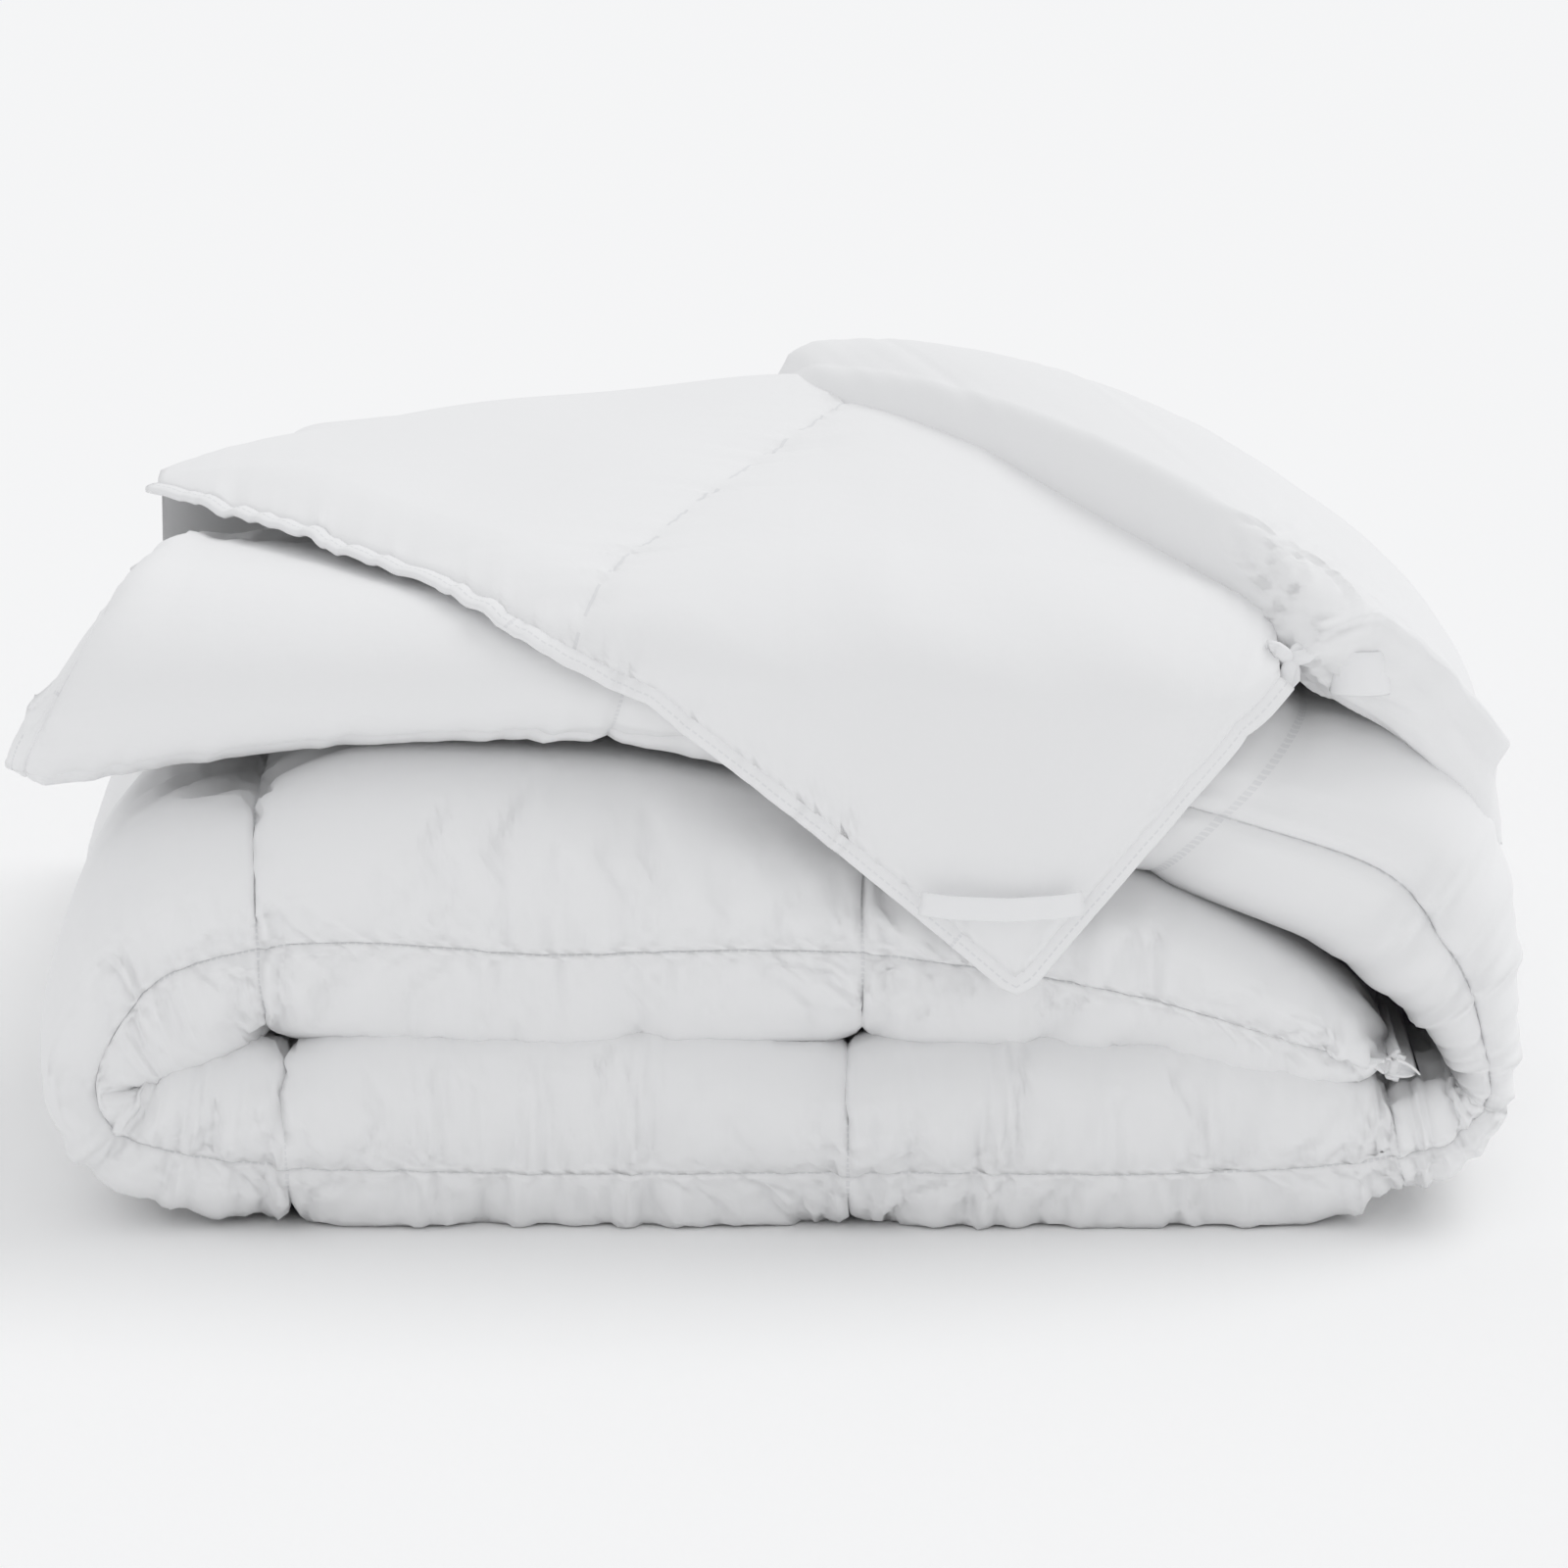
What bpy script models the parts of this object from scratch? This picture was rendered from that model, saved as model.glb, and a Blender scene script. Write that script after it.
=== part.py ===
"""A quilted duvet, folded once along its length, then in thirds like a letter, with one corner turned back.

The long strip of doubled duvet runs from its tucked end in the middle of the stack, round the left turn,
along the floor, round the right turn and back over the top. Sections across that strip are cut in planes
that fan round the two turns. Metres, +Z up, front towards -Y, origin under the middle of the stack, on the
surface it lies on.
"""

import math

import bmesh
import bpy
from mathutils import Matrix, Vector

# Driving sizes.
HALF_WIDTH = 0.366  # half the folded stack, left to right
FRONT_Y = -0.400  # the long front fold
BACK_Y = 0.412  # where the filling of the open long edges ends
PLY = 0.045  # loft of one ply of duvet at rest in the stack
FRONT_BULGE = 0.048  # how deep the front fold is rounded
BACK_TAPER = 0.085  # how far from the open edge a ply starts to thin
SHELL = 0.0010  # outer fabric, its seams and its nap
LINING = 0.0010  # inner fabric between the two plies of the strip
CLEARANCE = 0.0004  # between pieces that touch
HEM_WIDTH = 0.011  # flat band stitched round the whole edge
HEM_THICKNESS = 0.0026
EDGE_HALF = 0.0026  # half the thickness of a ply where it meets its hem
RIDGE_Y = 0.010  # back edge of the turned-back ply
SHEET = 0.027  # loft of the turned-back ply
CORNER_LOFT = 0.015  # loft of the corner that hangs over the front
TAPE_WIDTH = 0.012  # loops are folded from this tape
TAPE = 0.0012
LOOP_RISE = 0.0065  # room under a loop for a tie
KNOT_RADIUS = 0.007
LABEL_WIDTH = 0.032
LABEL_LENGTH = 0.052
LABEL_THICKNESS = 0.0006

# The folded strip, seen from the front: the line in boxes from its tucked end, the inner side of the fold and
# the outer side. X is in half widths and Z in plies. Whole numbers of the line are quilting seams.
FOLD = [
    (0.00, (0.832, 1.80), (0.832, 1.98)),
    (0.15, (0.757, 1.70), (0.757, 2.42)),
    (0.50, (0.492, 1.98), (0.492, 3.64)),
    (1.00, (0.109, 2.20), (0.109, 4.52)),
    (1.50, (-0.301, 2.09), (-0.301, 5.08)),
    (2.00, (-0.697, 2.18), (-0.716, 4.98)),
    (2.25, (-0.861, 1.86), (-0.888, 4.10)),
    (2.40, (-0.923, 1.58), (-0.962, 2.76)),
    (2.50, (-0.943, 1.46), (-0.990, 1.68)),
    (2.60, (-0.929, 1.38), (-0.956, 0.90)),
    (2.75, (-0.847, 1.66), (-0.861, 0.40)),
    (3.00, (-0.672, 2.00), (-0.672, 0.06)),
    (3.50, (-0.301, 1.95), (-0.301, 0.00)),
    (4.00, (0.090, 2.05), (0.090, 0.00)),
    (4.50, (0.464, 1.88), (0.464, 0.00)),
    (5.00, (0.833, 1.50), (0.850, 0.40)),
    (5.25, (0.923, 1.42), (0.945, 0.86)),
    (5.38, (0.948, 1.46), (0.997, 1.56)),
    (5.50, (0.938, 1.68), (0.998, 2.20)),
    (5.75, (0.847, 2.50), (0.972, 4.05)),
    (5.90, (0.697, 3.25), (0.888, 5.40)),
    (6.00, (0.492, 3.86), (0.710, 5.88)),
    (6.50, (0.137, 4.68), (0.191, 6.50)),
    (7.00, (-0.238, 5.15), (-0.191, 6.80)),
    (7.50, (-0.601, 5.16), (-0.574, 6.72)),
    (7.85, (-0.867, 5.04), (-0.847, 6.20)),
    (8.00, (-0.962, 5.14), (-0.956, 5.48)),
]
HINGE_LINE = 5.38  # where the top third bends up from the rest
HINGE_GAP = 0.005  # half the slit across the strip there, in boxes
SEAM_GAP = 0.0012  # between two stretches of the outer fabric, in boxes
LAST_LINE = 8.0

# The turned-back ply in plan: X in half widths, Y in metres from the front fold, clockwise from the left end.
SHEET_FRONT_Z = 6.65  # plies, under side at the front edge
SHEET_RISE = 0.052  # from the front edge to the ridge
SHEET_LEFT = (-0.872, 0.215)
RIDGE_END = 0.05  # where the slanting back edge reaches RIDGE_Y
RIDGE_DEPTH = 0.030  # how far the fold along the back edge bulges back
SHEET_EDGE_LEFT = -0.255
SHEET_EDGE_RIGHT = 0.665
CORNER_TIP_X = 0.312
CORNER_DROP = 0.168  # the tip hangs this far under the front edge
CORNER_LEAN = 0.016  # the tip stands this far in front of the edge

# The pleat over the right end, along X: half widths, under side and top side in plies, front and back Y.
PLEAT = [
    (0.100, 8.02, 8.60, -0.050, 0.030),
    (0.390, 7.70, 8.52, -0.215, 0.045),
    (0.640, 7.35, 7.98, -0.352, 0.045),
    (0.720, 6.80, 7.66, -0.372, 0.040),
    (0.830, 6.20, 6.98, -0.362, 0.020),
    (0.910, 5.56, 6.30, -0.340, -0.020),
    (0.965, 4.92, 5.72, -0.310, -0.060),
]

COLOURS = {
    "shell": (0.93, 0.93, 0.94, 1.0),
    "filling": (0.97, 0.97, 0.96, 1.0),
    "lining": (0.91, 0.91, 0.92, 1.0),
    "hem": (0.95, 0.95, 0.95, 1.0),
    "tape": (0.90, 0.90, 0.89, 1.0),
    "label": (0.94, 0.94, 0.92, 1.0),
}


def clear_scene():
    for obj in list(bpy.data.objects):
        bpy.data.objects.remove(obj)


def material(name):
    """One Principled material for each kind of cloth."""
    made = bpy.data.materials.get(name) or bpy.data.materials.new(name)
    made.use_nodes = True
    shader = made.node_tree.nodes["Principled BSDF"]
    shader.inputs["Base Color"].default_value = COLOURS[name]
    shader.inputs["Roughness"].default_value = 0.85
    shader.inputs["Metallic"].default_value = 0.0
    return made


def loft(name, rings, cloth, skin=False):
    """A closed solid through rings, capped at both ends. A skin's ring goes out and back along itself."""
    mesh = bpy.data.meshes.new(name)
    shape = bmesh.new()
    rows = [[shape.verts.new(point) for point in ring] for ring in rings]
    count = len(rings[0])
    for row, following in zip(rows, rows[1:]):
        for k in range(count):
            a, b, c, d = row[k], row[(k + 1) % count], following[(k + 1) % count], following[k]
            for corners in ((a, b, c), (a, c, d)) if a.co.y < b.co.y else ((a, b, d), (b, c, d)):
                shape.faces.new(corners)
    for row in (list(reversed(rows[0])), rows[-1]):
        if skin:
            for k in range(count // 2 - 1):
                shape.faces.new((row[k], row[k + 1], row[count - 2 - k], row[count - 1 - k]))
        else:
            shape.faces.new(row)
    bmesh.ops.triangulate(shape, faces=shape.faces)
    if shape.calc_volume(signed=True) < 0:
        bmesh.ops.reverse_faces(shape, faces=shape.faces)
    shape.to_mesh(mesh)
    shape.free()
    mesh.materials.append(material(cloth))
    obj = bpy.data.objects.new(name, mesh)
    bpy.context.scene.collection.objects.link(obj)
    return obj


def smooth_row(table, at):
    """A Catmull-Rom reading of a table whose first column is the place; the rest are numbers."""
    last = len(table) - 1
    i = next((k for k in range(last) if at <= table[k + 1][0]), last - 1)
    rows = [table[max(0, i - 1)], table[i], table[i + 1], table[min(last, i + 2)]]
    span = rows[2][0] - rows[1][0]
    t = (at - rows[1][0]) / span
    found = []
    for column in range(1, len(table[0])):
        before, start, end, after = (row[column] for row in rows)
        lead = span * (end - before) / max(rows[2][0] - rows[0][0], span)
        tail = span * (after - start) / max(rows[3][0] - rows[1][0], span)
        found.append(
            start
            + t * lead
            + t * t * (3 * (end - start) - 2 * lead - tail)
            + t**3 * (lead + tail - 2 * (end - start))
        )
    return found


def ridge_y(x):
    """Back edge of the turned-back ply at X in half widths: it slants forward to the left end."""
    left = FRONT_Y + SHEET_LEFT[1] + 0.02
    share = min(1.0, (x - SHEET_LEFT[0]) / (RIDGE_END - SHEET_LEFT[0]))
    return left + (RIDGE_Y - left) * share * (1.35 - 0.35 * share)


FOLD_ROWS = [(line, *inner, *outer) for line, inner, outer in FOLD]


class Section:
    """The plane across the folded strip at one line: its middle, its normal and half its thickness."""

    def __init__(self, line):
        xi, zi, xo, zo = smooth_row(FOLD_ROWS, line)
        inner = Vector((xi * HALF_WIDTH, 0, max(0.0, zi * PLY)))
        outer = Vector((xo * HALF_WIDTH, 0, max(0.0, zo * PLY)))
        self.line = line
        self.middle = (inner + outer) / 2
        self.normal = (outer - inner).normalized()
        self.half = (outer - inner).length / 2
        self.bulge = min(FRONT_BULGE, 1.3 * self.half)
        self.front = FRONT_Y + 0.35 * (FRONT_BULGE - self.bulge)

    def point(self, across, y):
        return self.middle + self.normal * across + Vector((0, y, 0))

    def back(self, side):
        """Where a ply ends at the back. Over the top, the outer ply ends at the ridge where it turns back."""
        if side < 0 or self.line < HINGE_LINE:
            return BACK_Y
        share = min(1.0, (self.line - HINGE_LINE) / (6.0 - HINGE_LINE))
        return BACK_Y + (ridge_y(self.middle.x / HALF_WIDTH) - BACK_Y) * share * share * (3 - 2 * share)

    def floor_curve(self, side, offset):
        """Inner face of one ply's wadding, from the front fold to the back, moved inwards by offset."""
        near = LINING + 1.5 * CLEARANCE
        far = max(near, self.half / 2 - EDGE_HALF + SHELL + CLEARANCE)
        back = self.back(side)
        heights = (near, near, near + 0.68 * (far - near), far)
        ys = (self.front + self.bulge, back - BACK_TAPER, back - 0.35 * BACK_TAPER, back - SHELL - CLEARANCE)
        return [(side * (height - offset), y) for height, y in zip(heights, ys)]

    def side_curve(self, side, inset, start=0.0):
        """Outer face of one ply, front fold to back. start leaves a gap at the middle of the fold."""
        high = self.half - inset
        round_y = self.bulge - inset
        turns = 5
        points = []
        for k in range(turns + 1):
            angle = math.pi / 2 * k / turns
            depth = self.front + inset + round_y * (1 - math.cos(angle))
            points.append((side * high * math.sin(angle), depth))
        share = min(0.9, start / abs(points[1][0]))
        points[0] = (side * start, points[0][1] + share * (points[1][1] - points[0][1]))
        back = self.back(side)
        hem = self.half / 2 + EDGE_HALF - inset
        points.append((side * high, (self.front + self.bulge + back - BACK_TAPER) / 2))
        points.append((side * high, back - BACK_TAPER))
        points.append((side * (high + 0.32 * (hem - high)), back - 0.35 * BACK_TAPER))
        points.append((side * hem, back - inset))
        return points


STOPS = sorted({line for line, _, _ in FOLD} | {6.25, 6.75, 7.25, 1.25, 1.75, 3.25, 3.75, 4.25, 4.75})


def rings_along(first, last, make):
    """Rings from line first to line last. Between two stops, every ring lies straight between theirs."""
    rings = []
    for line in (first, *(stop for stop in STOPS if first < stop < last), last):
        low = max(stop for stop in STOPS if stop <= line)
        high = min(stop for stop in STOPS if stop >= line)
        share = (line - low) / (high - low) if high > low else 0.0
        rings.append([a.lerp(b, share) for a, b in zip(make(Section(low)), make(Section(high)))])
    return rings


def shell(name, first, last):
    """The outer fabric: a thin skin that is open at the back, where each ply has its own edge."""

    def ring(cut):
        outside, inside = (
            [*reversed(cut.side_curve(-1, inset)), *cut.side_curve(1, inset)[1:]] for inset in (0.0, SHELL)
        )
        return [cut.point(n, y) for n, y in [*outside, *reversed(inside)]]

    loft(name, rings_along(first, last, ring), "shell", skin=True)


def filling(name, first, last, side):
    """The wadding of one ply, across its three boxes from the front fold to the open edge."""
    inset = SHELL + CLEARANCE

    def ring(cut):
        floor = cut.floor_curve(side, 0.0)
        face = cut.side_curve(side, inset, abs(floor[0][0]))
        return [cut.point(n, y) for n, y in [*face, *reversed(floor)]]

    loft(name, rings_along(first, last, ring), "filling")


def lining(name, first, last):
    """The inner fabric, folded at the front like the outer one, with the two plies' wadding outside it."""

    def ring(cut):
        layers = []
        for offset, start in ((CLEARANCE, 0.0), (CLEARANCE + LINING, LINING)):
            low, high = cut.floor_curve(-1, offset), cut.floor_curve(1, offset)
            low[0], high[0] = ((n, y + start) for n, y in (low[0], high[0]))
            layers.append([*reversed(low), *high])
        return [cut.point(n, y) for n, y in [*layers[0], *reversed(layers[1])]]

    loft(name, rings_along(first, last, ring), "lining", skin=True)


def back_hem(name, first, last, side):
    """The flat band along one ply's open edge."""

    def ring(cut):
        near = cut.back(side) + CLEARANCE
        far = near + HEM_WIDTH
        low = side * cut.half / 2 - HEM_THICKNESS / 2
        high = low + HEM_THICKNESS
        return [cut.point(n, y) for n, y in ((low, near), (low, far), (high, far), (high, near))]

    loft(name, rings_along(first, last, ring), "hem")


def end_hem(name, line, way):
    """The band across a free end of the strip, at the line where its filling ends."""
    cut = Section(line)
    outward = way * Vector((1, 0, 0))
    ys = [cut.front + cut.bulge * 0.5, 0.0, BACK_Y]
    rings = []
    for y in ys:
        near = cut.point(0, y) + outward * (CLEARANCE + 0.0006)
        far = near + outward * HEM_WIDTH
        rise = Vector((0, 0, HEM_THICKNESS / 2))
        rings.append([near - rise, far - rise, far + rise, near + rise])
    loft(name, rings, "hem")


def strip():
    """Both fabrics, the wadding and the edges of the folded strip, split where the top third bends up."""
    shell("shell_middle_third", 0.0, 3.0 - SEAM_GAP)
    shell("shell_bottom_third", 3.0, 5.0)
    shell("shell_right_turn", 5.0 + SEAM_GAP, HINGE_LINE - HINGE_GAP)
    shell("shell_top_third", HINGE_LINE + HINGE_GAP, LAST_LINE)
    lining("lining_lower_thirds", 0.0, HINGE_LINE - HINGE_GAP)
    lining("lining_top_third", HINGE_LINE + HINGE_GAP, LAST_LINE)
    seam = 0.012
    stretches = [
        ("tucked_end", 0.0, 1.0),
        ("middle_third", 1.0, 2.0),
        ("left_turn", 2.0, 3.0),
        ("bottom_left", 3.0, 4.0),
        ("bottom_right", 4.0, 5.0),
        ("right_turn_lower", 5.0, HINGE_LINE - HINGE_GAP + seam),
        ("right_turn_upper", HINGE_LINE + HINGE_GAP - seam, 6.0),
        ("top_right", 6.0, 7.0),
        ("top_left", 7.0, 8.0),
    ]
    for name, first, last in stretches:
        for side, ply in ((-1, "inner"), (1, "outer")):
            filling(f"filling_{name}_{ply}_ply", first + seam, last - seam, side)
    back_hem("hem_back_lower_thirds_inner", 0.02, HINGE_LINE - HINGE_GAP, -1)
    back_hem("hem_back_lower_thirds_outer", 0.02, HINGE_LINE - HINGE_GAP, 1)
    back_hem("hem_back_top_third", HINGE_LINE + HINGE_GAP, LAST_LINE - 0.02, -1)
    end_hem("hem_tucked_end", 0.0, 1)
    end_hem("hem_left_end", LAST_LINE, -1)


def strip_top(x):
    """Height of the strip's upper face at X in half widths, right of the middle of the top third."""
    cuts = [Section(stop) for stop in STOPS if 5.5 <= stop <= LAST_LINE]
    points = sorted((p.x / HALF_WIDTH, p.z) for p in (cut.point(cut.half, 0) for cut in cuts))
    for (x0, z0), (x1, z1) in zip(points, points[1:]):
        if x0 <= x <= x1:
            return z0 + (z1 - z0) * (x - x0) / (x1 - x0)
    return points[0][1] if x < points[0][0] else points[-1][1]


def sheet_z(x, y):
    """Under side of the turned-back ply: it rises to the ridge and sinks to the right with the strip."""
    share = (y - FRONT_Y) / (RIDGE_Y - FRONT_Y)
    sink = 0.85 * max(0.0, strip_top(0.137) - strip_top(max(x, 0.137)))
    return SHEET_FRONT_Z * PLY + SHEET_RISE * math.sin(share * math.pi / 2) - sink


def pleat_front(x):
    return smooth_row(PLEAT, max(x, PLEAT[0][0]))[2]


def sheet_bounds(x):
    """Front and back Y of the turned-back ply at X in half widths: slanting end hem, then front edge."""
    left_x, left_y = SHEET_LEFT[0], FRONT_Y + SHEET_LEFT[1]
    share = min(1.0, (x - left_x) / (SHEET_EDGE_LEFT - left_x))
    front = left_y + (FRONT_Y - left_y) * share
    back = ridge_y(x)
    if x > PLEAT[0][0] - 0.005:
        back = min(back, pleat_front(x) - 0.004)
    return front, back


def sheet_layer(name, low, high, cloth, margin, first=SHEET_LEFT[0], last=SHEET_EDGE_RIGHT):
    """One layer of the turned-back ply, between two heights over its under side, inside its hem by margin."""
    places = {-0.872, -0.73, -0.58, -0.42, SHEET_EDGE_LEFT, -0.1, 0.04, 0.094, 0.10}
    places |= {0.137, 0.191, 0.30, 0.39, 0.492, 0.60, 0.64}
    xs = [first, *sorted(x for x in places if first < x < last), last]
    count = 6
    rings = []
    for x in xs:
        front, back = sheet_bounds(x)
        ys = [front + margin + (back - front - margin) * k / count for k in range(count + 1)]
        under = [Vector((x * HALF_WIDTH, y, sheet_z(x, y) + low)) for y in ys]
        over = [Vector((x * HALF_WIDTH, y, sheet_z(x, y) + high)) for y in reversed(ys)]
        rings.append(under + over)
    loft(name, rings, cloth)


def band(x, front, z):
    """A section of a flat hem band in front of an edge."""
    near, far = front - CLEARANCE, front - CLEARANCE - HEM_WIDTH
    low, high = z - HEM_THICKNESS / 2, z + HEM_THICKNESS / 2
    corners = ((near, low), (far, low), (far, high), (near, high))
    return [Vector((x * HALF_WIDTH, y, h)) for y, h in corners]


def turned_back_ply():
    """Face fabric, wadding in two boxes and backing fabric of the ply that is folded over the top."""
    inner = SHELL + CLEARANCE
    seam_x = -0.285
    sheet_layer("turned_back_backing", 0.0, SHELL, "shell", 0.0)
    sheet_layer("turned_back_face", SHEET - SHELL, SHEET, "shell", 0.0)
    for name, first, last in (
        ("filling_turned_back_left", SHEET_LEFT[0] + 0.01, seam_x - 0.005),
        ("filling_turned_back_right", seam_x + 0.005, SHEET_EDGE_RIGHT - 0.01),
    ):
        sheet_layer(name, inner, SHEET - inner, "filling", CLEARANCE, first, last)
    hem_rings = []
    for x in (SHEET_LEFT[0], -0.73, -0.58, -0.42, SHEET_EDGE_LEFT):
        front, _ = sheet_bounds(x)
        hem_rings.append(band(x, front, sheet_z(x, front) + SHEET / 2))
    loft("hem_turned_back_end", hem_rings, "hem")


def ridge_ring(x, inset):
    """Half round section of the fold along the ridge, from the outer ply's end up to the turned-back ply."""
    cuts = [Section(stop) for stop in STOPS if 6.0 <= stop]
    heights = sorted((cut.middle.x / HALF_WIDTH, cut.point(cut.half / 2, 0).z) for cut in cuts)
    (x0, z0), (x1, z1) = next(pair for pair in zip(heights, heights[1:]) if x <= pair[1][0])
    low = z0 + (z1 - z0) * (x - x0) / (x1 - x0)
    _, y = sheet_bounds(x)
    low -= EDGE_HALF
    high = sheet_z(x, y) + SHEET
    middle, half = (low + high) / 2, (high - low) / 2
    angles = [math.pi * (k / 8 - 0.5) for k in range(9)]
    depth = RIDGE_DEPTH - inset
    return [
        Vector((x * HALF_WIDTH, y + CLEARANCE + depth * math.cos(t), middle + (half - inset) * math.sin(t)))
        for t in angles
    ]


def ridge():
    """The fold that joins the outer ply to the turned-back one: its wadding and the fabric round it."""
    xs = (SHEET_LEFT[0], -0.73, -0.58, -0.42, SHEET_EDGE_LEFT, -0.1, 0.04, 0.09)
    loft("filling_ridge", [ridge_ring(x, SHELL + CLEARANCE) for x in xs], "filling")
    cover = [[*ridge_ring(x, 0.0), *reversed(ridge_ring(x, SHELL))] for x in xs]
    loft("ridge_cover", cover, "shell", skin=True)


class Corner:
    """The triangle of duvet that hangs over the front edge, point down."""

    def __init__(self):
        top = sheet_z(0, FRONT_Y) + SHEET
        right_top = sheet_z(SHEET_EDGE_RIGHT, FRONT_Y) + SHEET
        self.face_y = FRONT_Y - CORNER_LOFT - CLEARANCE
        self.left = Vector((SHEET_EDGE_LEFT * HALF_WIDTH, self.face_y, top))
        self.right = Vector((SHEET_EDGE_RIGHT * HALF_WIDTH, self.face_y, right_top))
        self.tip = Vector((CORNER_TIP_X * HALF_WIDTH, self.face_y - CORNER_LEAN, top - CORNER_DROP))

    def ring(self, share, inset, near, far):
        """A level cut at a share of the way down, inset from both hems, between two depths."""
        left = self.left.lerp(self.tip, share) + Vector((inset, 0, 0))
        right = self.right.lerp(self.tip, share) - Vector((inset, 0, 0))
        front, back = Vector((0, near, 0)), Vector((0, far, 0))
        return [left + front, right + front, right + back, left + back]

    def layer(self, name, cloth, inset, near, far, first=0.0, last=0.93):
        shares = [first + (last - first) * k / 3 for k in range(4)]
        loft(name, [self.ring(share, inset, near, far) for share in shares], cloth)

    def hem(self, name, start, sign):
        """The band down one of the corner's two edges."""
        middle = CORNER_LOFT / 2
        out = Vector((sign * HEM_WIDTH, 0, 0))
        gap = Vector((sign * CLEARANCE, 0, 0))
        rings = []
        for share in (0.0, 0.45, 0.92):
            edge = start.lerp(self.tip, share) + gap
            near = Vector((0, middle - HEM_THICKNESS / 2, 0))
            far = Vector((0, middle + HEM_THICKNESS / 2, 0))
            rings.append([edge + near, edge + out + near, edge + out + far, edge + far])
        loft(name, rings, "hem")


def arch(name, left, right, width, rise):
    """A loop of tape between two sewn ends, arched forward so that a tie can pass under it."""
    neck = 0.0015
    rings = []
    for share, lift, spread in (
        (0.0, 0.0, 0.0),
        (0.04, 0.25, 0.3),
        (0.10, 0.75, 0.8),
        (0.18, 1.0, 1.0),
        (0.5, 1.06, 1.0),
        (0.82, 1.0, 1.0),
        (0.90, 0.75, 0.8),
        (0.96, 0.25, 0.3),
        (1.0, 0.0, 0.0),
    ):
        base = left.lerp(right, share) - Vector((0, rise * lift, 0))
        half = Vector((0, 0, neck + (width / 2 - neck) * spread))
        front = Vector((0, -TAPE, 0))
        rings.append([base - half, base + half, base + half + front, base - half + front])
    return loft(name, rings, "tape")


def hanging_corner():
    corner = Corner()
    inner = SHELL + CLEARANCE
    corner.layer("corner_face", "shell", 0.0, 0.0, SHELL)
    corner.layer("corner_filling", "filling", CLEARANCE, inner, CORNER_LOFT - inner, 0.02, 0.84)
    corner.layer("corner_backing", "shell", 0.0, CORNER_LOFT - SHELL, CORNER_LOFT)
    corner.hem("hem_corner_end_side", corner.left, -1)
    corner.hem("hem_corner_long_side", corner.right, 1)
    share = 0.74
    stand_off = Vector((0, -2 * CLEARANCE, 0))
    left = corner.left.lerp(corner.tip, share) + stand_off
    right = corner.right.lerp(corner.tip, share) + stand_off
    arch("corner_loop", left, right, TAPE_WIDTH, LOOP_RISE)


def pleat_places(first):
    """Where the pleat is cut: its own rows, and wherever the strip under it bends."""
    cuts = [Section(stop) for stop in STOPS]
    places = {row[0] for row in PLEAT} | {cut.point(cut.half, 0).x / HALF_WIDTH for cut in cuts}
    return sorted(x for x in places if first <= x <= PLEAT[-1][0])


def pleat_layer(name, low, high, cloth, margin):
    """One layer of the pleat over the right end, from a share low to a share high of its thickness."""
    rings = []
    for x in pleat_places(PLEAT[0][0]):
        under, over, front, back = smooth_row(PLEAT, x)
        under = max(under * PLY, strip_top(x) + CLEARANCE) if x > 0.8 else strip_top(x) + CLEARANCE
        over *= PLY
        z_low, z_high = low(under, over), high(under, over)
        round_off = 0.25 * (z_high - z_low)
        y0, y1 = front + margin, back - margin
        corners = (
            (y0 + 0.02, z_low),
            (y1 - 0.02, z_low),
            (y1, z_low + round_off),
            (y1, z_high - round_off),
            (y1 - 0.02, z_high),
            (y0 + 0.02, z_high),
            (y0, z_high - round_off),
            (y0, z_low + round_off),
        )
        rings.append([Vector((x * HALF_WIDTH, y, z)) for y, z in corners])
    loft(name, rings, cloth)


def pleat():
    """The ply's puffed pleat over the right end, gathered into the side loop."""
    inner = SHELL + CLEARANCE
    pleat_layer("filling_pleat", lambda u, o: u + inner, lambda u, o: o - inner, "filling", CLEARANCE)
    pleat_layer("pleat_backing", lambda u, o: u, lambda u, o: u + SHELL, "shell", 0.0)
    pleat_layer("pleat_face", lambda u, o: o - SHELL, lambda u, o: o, "shell", 0.0)


def pleat_edge(x):
    """Where the pleat's own hem runs, at X in half widths: its Y and height."""
    under, over, front, _ = smooth_row(PLEAT, x)
    return front, ((max(under * PLY, strip_top(x)) if x > 0.8 else strip_top(x)) + over * PLY) / 2


def pleat_hem():
    """The long edge's band from the side loop round the right end."""
    loft("hem_long_side_right", [band(x, *pleat_edge(x)) for x in pleat_places(0.70)], "hem")


def side_loop():
    """The loop at the gathered place on the long edge, with the knot of its tie."""
    x = 0.775
    front, z = pleat_edge(x)
    y = front - HEM_WIDTH - 2.2 * CLEARANCE
    left = Vector((x * HALF_WIDTH - 0.013, y, z))
    right = Vector((x * HALF_WIDTH + 0.013, y, z))
    arch("side_loop", left, right, 0.020, LOOP_RISE)
    ball = bmesh.new()
    bmesh.ops.create_uvsphere(ball, u_segments=14, v_segments=9, radius=KNOT_RADIUS)
    mesh = bpy.data.meshes.new("tie_knot")
    ball.to_mesh(mesh)
    ball.free()
    mesh.materials.append(material("tape"))
    knot = bpy.data.objects.new("tie_knot", mesh)
    knot.location = left + Vector((-KNOT_RADIUS - CLEARANCE, 0, 0.0))
    bpy.context.scene.collection.objects.link(knot)


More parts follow.
